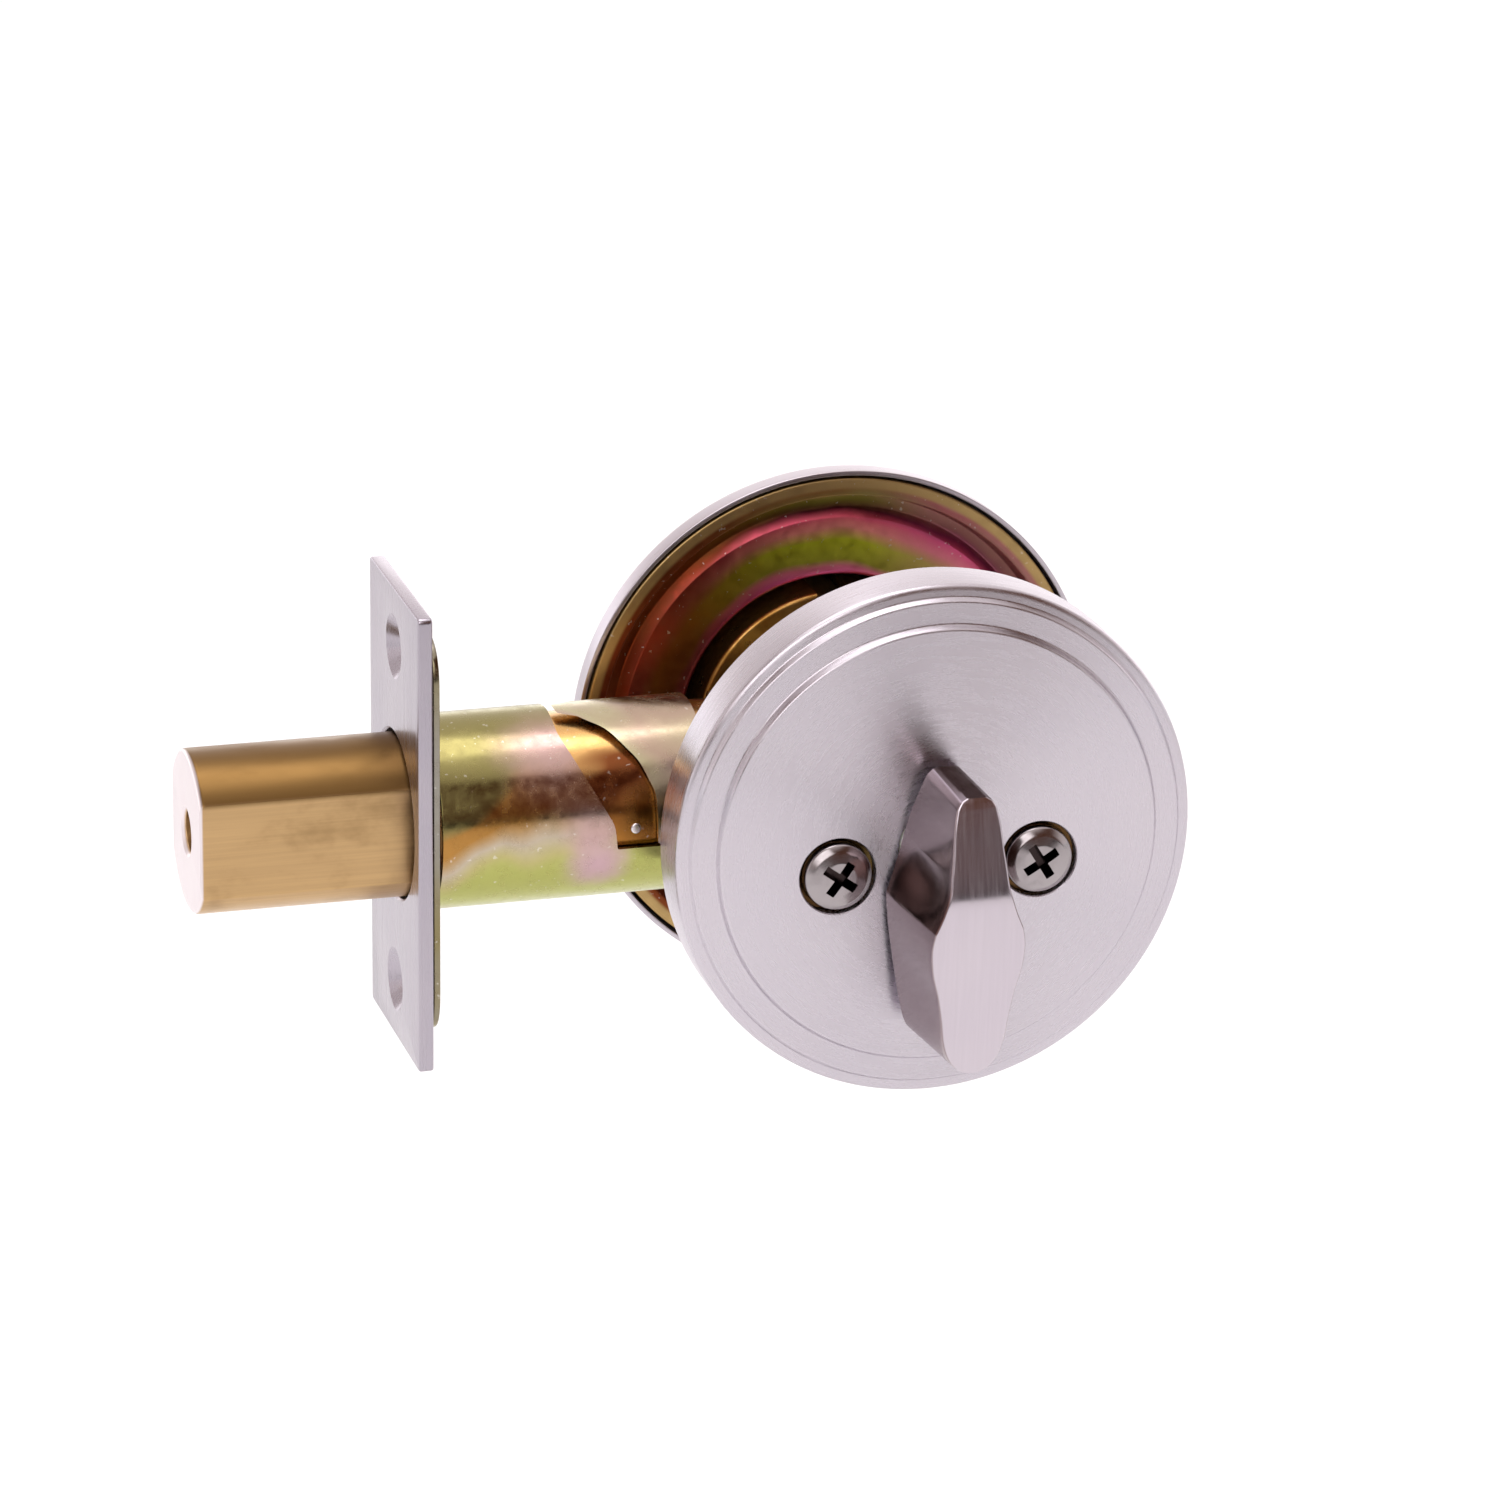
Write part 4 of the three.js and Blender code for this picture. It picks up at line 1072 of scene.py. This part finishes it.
HUB_HIGH = node_box("crank_hub")[1]
TAIL_LOW, TAIL_HIGH = node_box("bolt_tail")
CRANK_LOW, CRANK_HIGH = node_box("crank_pin")
CRANK_X, CRANK_Z = (CRANK_LOW.x + CRANK_HIGH.x) / 2, (CRANK_LOW.z + CRANK_HIGH.z) / 2


def through(name, radius, x, z):
    """A hole's shape along Y, longer than the case is wide."""
    return rod(name, radius, -9, 9, "Y", (x, 0, z))


def build_case():
    outside, top, low, left, right = CASE_HIGH.y, CASE_HIGH.z, CASE_LOW.z, CASE_LOW.x, CASE_HIGH.x
    inside, web, shoulder = outside - CASE_WALL, top - CASE_WALL, CORE_HIGH.x + 0.3
    fold = [
        (-outside, low, 0.2), (-inside, low, 0.2), (-inside, web, 0.7), (inside, web, 0.7),
        (inside, low, 0.2), (outside, low, 0.2), (outside, top, 2.0), (-outside, top, 2.0),
    ]
    case = slab("channel", fold, shoulder, right, "X", steps=8)
    for side in (-1, 1):
        near, far = sorted((side * inside, side * outside))
        boolean(case, block("tongue", (left, near, -6.3), (shoulder + 1, far, 6.3)), "UNION")
    for name, radius, x, z in (
        ("hub_hole", HUB_HIGH.y - 2.0, 0, 0), ("left_screw", 3.0, -SCREW_X, SCREW_Z),
        ("right_screw", 3.0, SCREW_X, SCREW_Z), ("left_rivet", 1.5, -17, 6.8),
        ("right_rivet", 1.5, 7.7, 5.6),
    ):
        cut(case, through(name, radius, x, z))
    bevel(case, 0.14, 50, 2)
    finish_piece(case, CASE, ZINC_CASE, "zinc_yellow", "cam_case")


def build_spacer(node):
    low, high = node_box(node)
    reach, inside = high.y, CASE_HIGH.y - 1.7
    profile = [
        (0, -reach), (2.2, -reach, 0.6), (2.2, 0.7 - reach), (1.2, 0.7 - reach), (1.2, -inside, 0.1),
        (1.6, -inside, 0.1),
    ]
    mirrored = [(p[0], -p[1], *p[2:]) for p in reversed(profile)]
    spacer = lathe("spacer", profile + mirrored, sides=48)
    shift(spacer, (low.x + high.x) / 2, 0, (low.z + high.z) / 2)
    finish_piece(spacer, CASE, NICKEL, "bright_steel", node)


def build_hub():
    reach = HUB_HIGH.y
    hub = lathe("hub", [(0, -5.3), (6.4, -5.3, 0.3), (6.4, 5.3, 0.3), (0, 5.3)], sides=128)
    cut(hub, block("top_flat", (-9, -9, 5.9), (9, 9, 9)), block("side_flat", (5.9, -9, -9), (9, 9, 9)))
    ends = [(0, -reach), (5.2, -reach, 0.3), (5.2, reach, 0.3), (0, reach)]
    boolean(hub, lathe("trunnions", ends, sides=128), "UNION")
    arm_outline = arc((18, 0), 3.6, -90, 90) + [(0, 4.6), (0, -4.6)]
    arm = slab("arm", arm_outline, -1.5, 1.5)
    moved(arm, Matrix.Rotation(-math.atan2(CRANK_Z, CRANK_X), 4, "Y"))
    boolean(hub, arm, "UNION")
    cut(hub, blade_slot(-9, 9), through("pin_hole", 2.3, CRANK_X, CRANK_Z))
    bevel(hub, 0.12, 45, 2)
    finish_piece(hub, TURN, HUB_STEEL, "spring_steel", "crank_hub")


def build_crank_pin():
    low, high = CRANK_LOW.y, CRANK_HIGH.y
    pin = lathe("pin", [
        (0, low), (2.9, low, 0.35), (2.9, low + 0.8), (2.0, low + 0.8), (2.0, high, 0.4), (0, high),
    ], sides=64)
    shift(pin, CRANK_X, 0, CRANK_Z)
    finish_piece(pin, TURN, NICKEL, "bright_steel", "crank_pin")


def build_tail():
    near, far = TAIL_LOW.y, TAIL_HIGH.y
    left, right, foot = TAIL_LOW.x, TAIL_HIGH.x, TAIL_LOW.z + 4.6
    head_end, rivet_x = BOLT_HIGH.x + 9.5, BOLT_HIGH.x - 3
    outline = [(left, 3.5, 0.6), (left, -8.9, 1.2), (CRANK_X - 4.6, -8.9, 1.0)]
    outline += arc((CRANK_X, foot), 4.6, 180, 360)
    outline += [(right, -6.9, 1.6), (head_end, -6.9, 1.2), (head_end - 2, 3.5, 0.8)]
    slot = arc((CRANK_X, -12.2), 2.7, 0, 180) + arc((CRANK_X, foot), 2.7, 180, 360)
    strip = slab("strip", outline, near, far, holes=[slot])
    cut(strip, through("rivet_hole", 1.7, rivet_x, 0))
    bevel(strip, 0.15, 50, 2)
    finish_piece(strip, BOLT, ZINC_CASE, "zinc_yellow", "bolt_tail")


def build_tail_rivet():
    low, high = node_box("tail_rivet")
    rivet = lathe("rivet", [(0, low.y), (1.4, low.y, 0.35), (1.4, high.y, 0.35), (0, high.y)], sides=48)
    shift(rivet, (low.x + high.x) / 2)
    finish_piece(rivet, BOLT, NICKEL, "bright_steel", "tail_rivet")


def build_tube_rivet():
    low, high = node_box("tube_rivet")
    middle = (low + high) / 2
    rivet = lathe("small_rivet", [(0, -0.45), (0.7, -0.45, 0.3), (0.7, 0.45), (0, 0.45)], sides=32)
    moved(rivet, Matrix.Rotation(math.atan2(middle.z, -middle.y), 4, "X").inverted())
    shift(rivet, *middle)
    finish_piece(rivet, CASE, NICKEL, "bright_steel", "tube_rivet")


def build_detent_spring():
    low, high = node_box("detent_spring")
    leaf, rise, count = 0.45, high.z - low.z - 0.45, 24
    under = []
    for i in range(count + 1):
        t = 2 * i / count - 1
        under.append((high.x * t, low.z + rise * t * t * (1.15 - 0.15 * t * t)))
    spring = slab("leaf", under + [(x, z + leaf) for x, z in reversed(under)], low.y, high.y)
    bevel(spring, 0.1, 50, 2)
    finish_piece(spring, CASE, STEEL, "spring_steel", "detent_spring")


# ---------------- carried-over nodes

def dress_pins():
    """The tumbler pins and their springs sit inside the cylinder and keep their CAD shapes."""
    for index in PIN_NUMBERS:
        for stem, material in (("key_pin", PIN_BRASS), ("driver_pin", PIN_BRASS), ("pin_spring", STEEL)):
            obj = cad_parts[f"{stem}_{index}"]
            smooth(obj)
            obj.data.materials.clear()
            obj.data.materials.append(material)


# ---------------- camera, floor and lights

VIEW_AZIMUTH = math.radians(17.20)
VIEW_ELEVATION = math.radians(19.72)
VIEW_ROLL = math.radians(1.128)
VIEW_DISTANCE = 849.15
VIEW_LENS = 166.64
AIM_LEFT, AIM_UP = 15.33, 2.83
FLOOR_DROP = 120.0


def place_camera():
    """Looks from the bolt's side and a little above, aimed to the left of the hub and just above it."""
    level = Vector((math.cos(VIEW_AZIMUTH), -math.sin(VIEW_AZIMUTH), 0))
    away = Vector((level.y, -level.x, 0))
    back = away * math.cos(VIEW_ELEVATION) + Vector((0, 0, math.sin(VIEW_ELEVATION)))
    upright = back.cross(level)
    right = level * math.cos(VIEW_ROLL) + upright * math.sin(VIEW_ROLL)
    up = upright * math.cos(VIEW_ROLL) - level * math.sin(VIEW_ROLL)
    position = back * VIEW_DISTANCE
    target = up * AIM_UP - right * AIM_LEFT
    depth = (position - target).normalized()
    across = (right - depth * right.dot(depth)).normalized()
    data = bpy.data.cameras.new("camera")
    data.lens = VIEW_LENS
    data.sensor_width = 36
    data.clip_start, data.clip_end = 0.01, 20
    camera = add_object("camera", data)
    turn = Matrix((across, depth.cross(across), depth)).transposed().to_4x4()
    camera.matrix_world = Matrix.Translation(position * MM) @ turn
    bpy.context.scene.camera = camera


def lay_floor():
    """A plain white floor well below the lock, with a slight glow of its own."""
    size, level = 3000, ROSE_LOW.z - FLOOR_DROP
    corners = [(-size, -size, level), (size, -size, level), (size, size, level), (-size, size, level)]
    floor = make_mesh("floor", corners, [(0, 1, 2, 3)])
    tree = Tree("floor_paper")
    grain = tree.noise(tree.coordinates(), 900.0, 3.0, 0.6)
    tree.surface(
        Base_Color=tree.mix(grain, (0.92, 0.93, 0.94, 1), (0.95, 0.96, 0.97, 1)), Roughness=0.9,
        Emission_Color=(0.75, 0.95, 1.0, 1), Emission_Strength=0.12,
    )
    floor.data.materials.append(tree.owner)


def area_light(name, position, target, size, power):
    data = bpy.data.lights.new(name, "AREA")
    data.shape = "SQUARE"
    data.size = data.size_y = size * MM
    data.energy = power
    lamp = add_object(name, data)
    place, aim = Vector(position) * MM, Vector(target) * MM
    lamp.location = place
    lamp.rotation_mode = "QUATERNION"
    lamp.rotation_quaternion = (aim - place).to_track_quat("-Z", "Y")


CEILING, GLOW, SIDES, WINDOW = 1.0, 0.9, 0.9, 2.6
WINDOW_AT = (-0.36, -0.78, 0.51)
ROOM_STOPS = [
    (0.0, (0.02, 0.012, 0.012)), (0.045, (0.03, 0.02, 0.02)), (0.08, (0.27, 0.21, 0.21)),
    (0.14, (0.15, 0.065, 0.04)), (0.7, (0.13, 0.05, 0.025)),
]


def studio_world():
    """A bright ceiling and back, brightest low behind, and a dark warm room in front with one window."""
    world = bpy.data.worlds.new("studio")
    tree = Tree(world)
    way = tree.add("TexCoord", output="Generated")
    x, y, z = tree.split(way)
    back = tree.spread(y, -0.10, 0.30)
    upper = tree.math("MAXIMUM", tree.spread(z, 0.72, 0.82), back)
    low = tree.times(back, tree.spread(z, 0.20, 0.34, GLOW, 0.0))
    left = tree.times(tree.spread(x, -0.30, 0.05, 1.0, 0.0), tree.spread(z, 0.12, 0.22))
    low = tree.times(low, tree.math("SUBTRACT", 1.0, left))
    upper = tree.times(upper, tree.math("SUBTRACT", CEILING, tree.times(left, 0.3)))
    sides = tree.spread(tree.math("ABSOLUTE", x), 0.65, 0.95, 0.0, SIDES)
    light = tree.math("MAXIMUM", tree.math("ADD", upper, low), sides)
    facing = tree.add("VectorMath", {0: way, 1: WINDOW_AT}, output="Value", operation="DOT_PRODUCT")
    light = tree.math("MAXIMUM", light, tree.spread(facing, 0.90, 0.96, 0.0, WINDOW))
    room = tree.ramp(z, ROOM_STOPS)
    colour = tree.add("VectorMath", {0: room, 1: tree.join(light, light, light)}, operation="ADD")
    background = tree.nodes["Background"]
    tree.put(background.inputs["Color"], colour)
    background.inputs["Strength"].default_value = 1.0
    bpy.context.scene.world = world


def light_stage():
    studio_world()
    area_light("top_box", (-100, 100, 900), (0, 0, 0), 600, 3)
    bpy.context.scene.view_settings.view_transform = "Standard"


def build_lock():
    build_rose()
    build_lever()
    build_screw("mounting_screw_left", -SCREW_X, 0.62)
    build_screw("mounting_screw_right", SCREW_X, -0.55)
    for build in (
        build_bolt, build_saw_pin, build_faceplate, build_backplate, build_front_tube, build_sleeve,
        build_core, build_collar, build_ring, build_housing, build_plug, build_tailpiece,
        build_chamber_cap,
    ):
        build()
    clip("clip", 6.0, 8.2, -65, 245, "plug_clip", PLUG)
    washer("cap_washer", 3.1, 6.2, "tailpiece_cap", PLUG, PIN_BRASS, "brass")
    build_liner()
    build_bushing()
    build_spring_washer()
    clip("retainer", 3.3, 6.4, -60, 240, "turn_retainer", TURN)
    build_case()
    build_spacer("case_spacer_left")
    build_spacer("case_spacer_right")
    for build in (
        build_hub, build_crank_pin, build_tail, build_tail_rivet, build_tube_rivet, build_detent_spring,
    ):
        build()


build_lock()
dress_pins()
place_camera()
lay_floor()
light_stage()
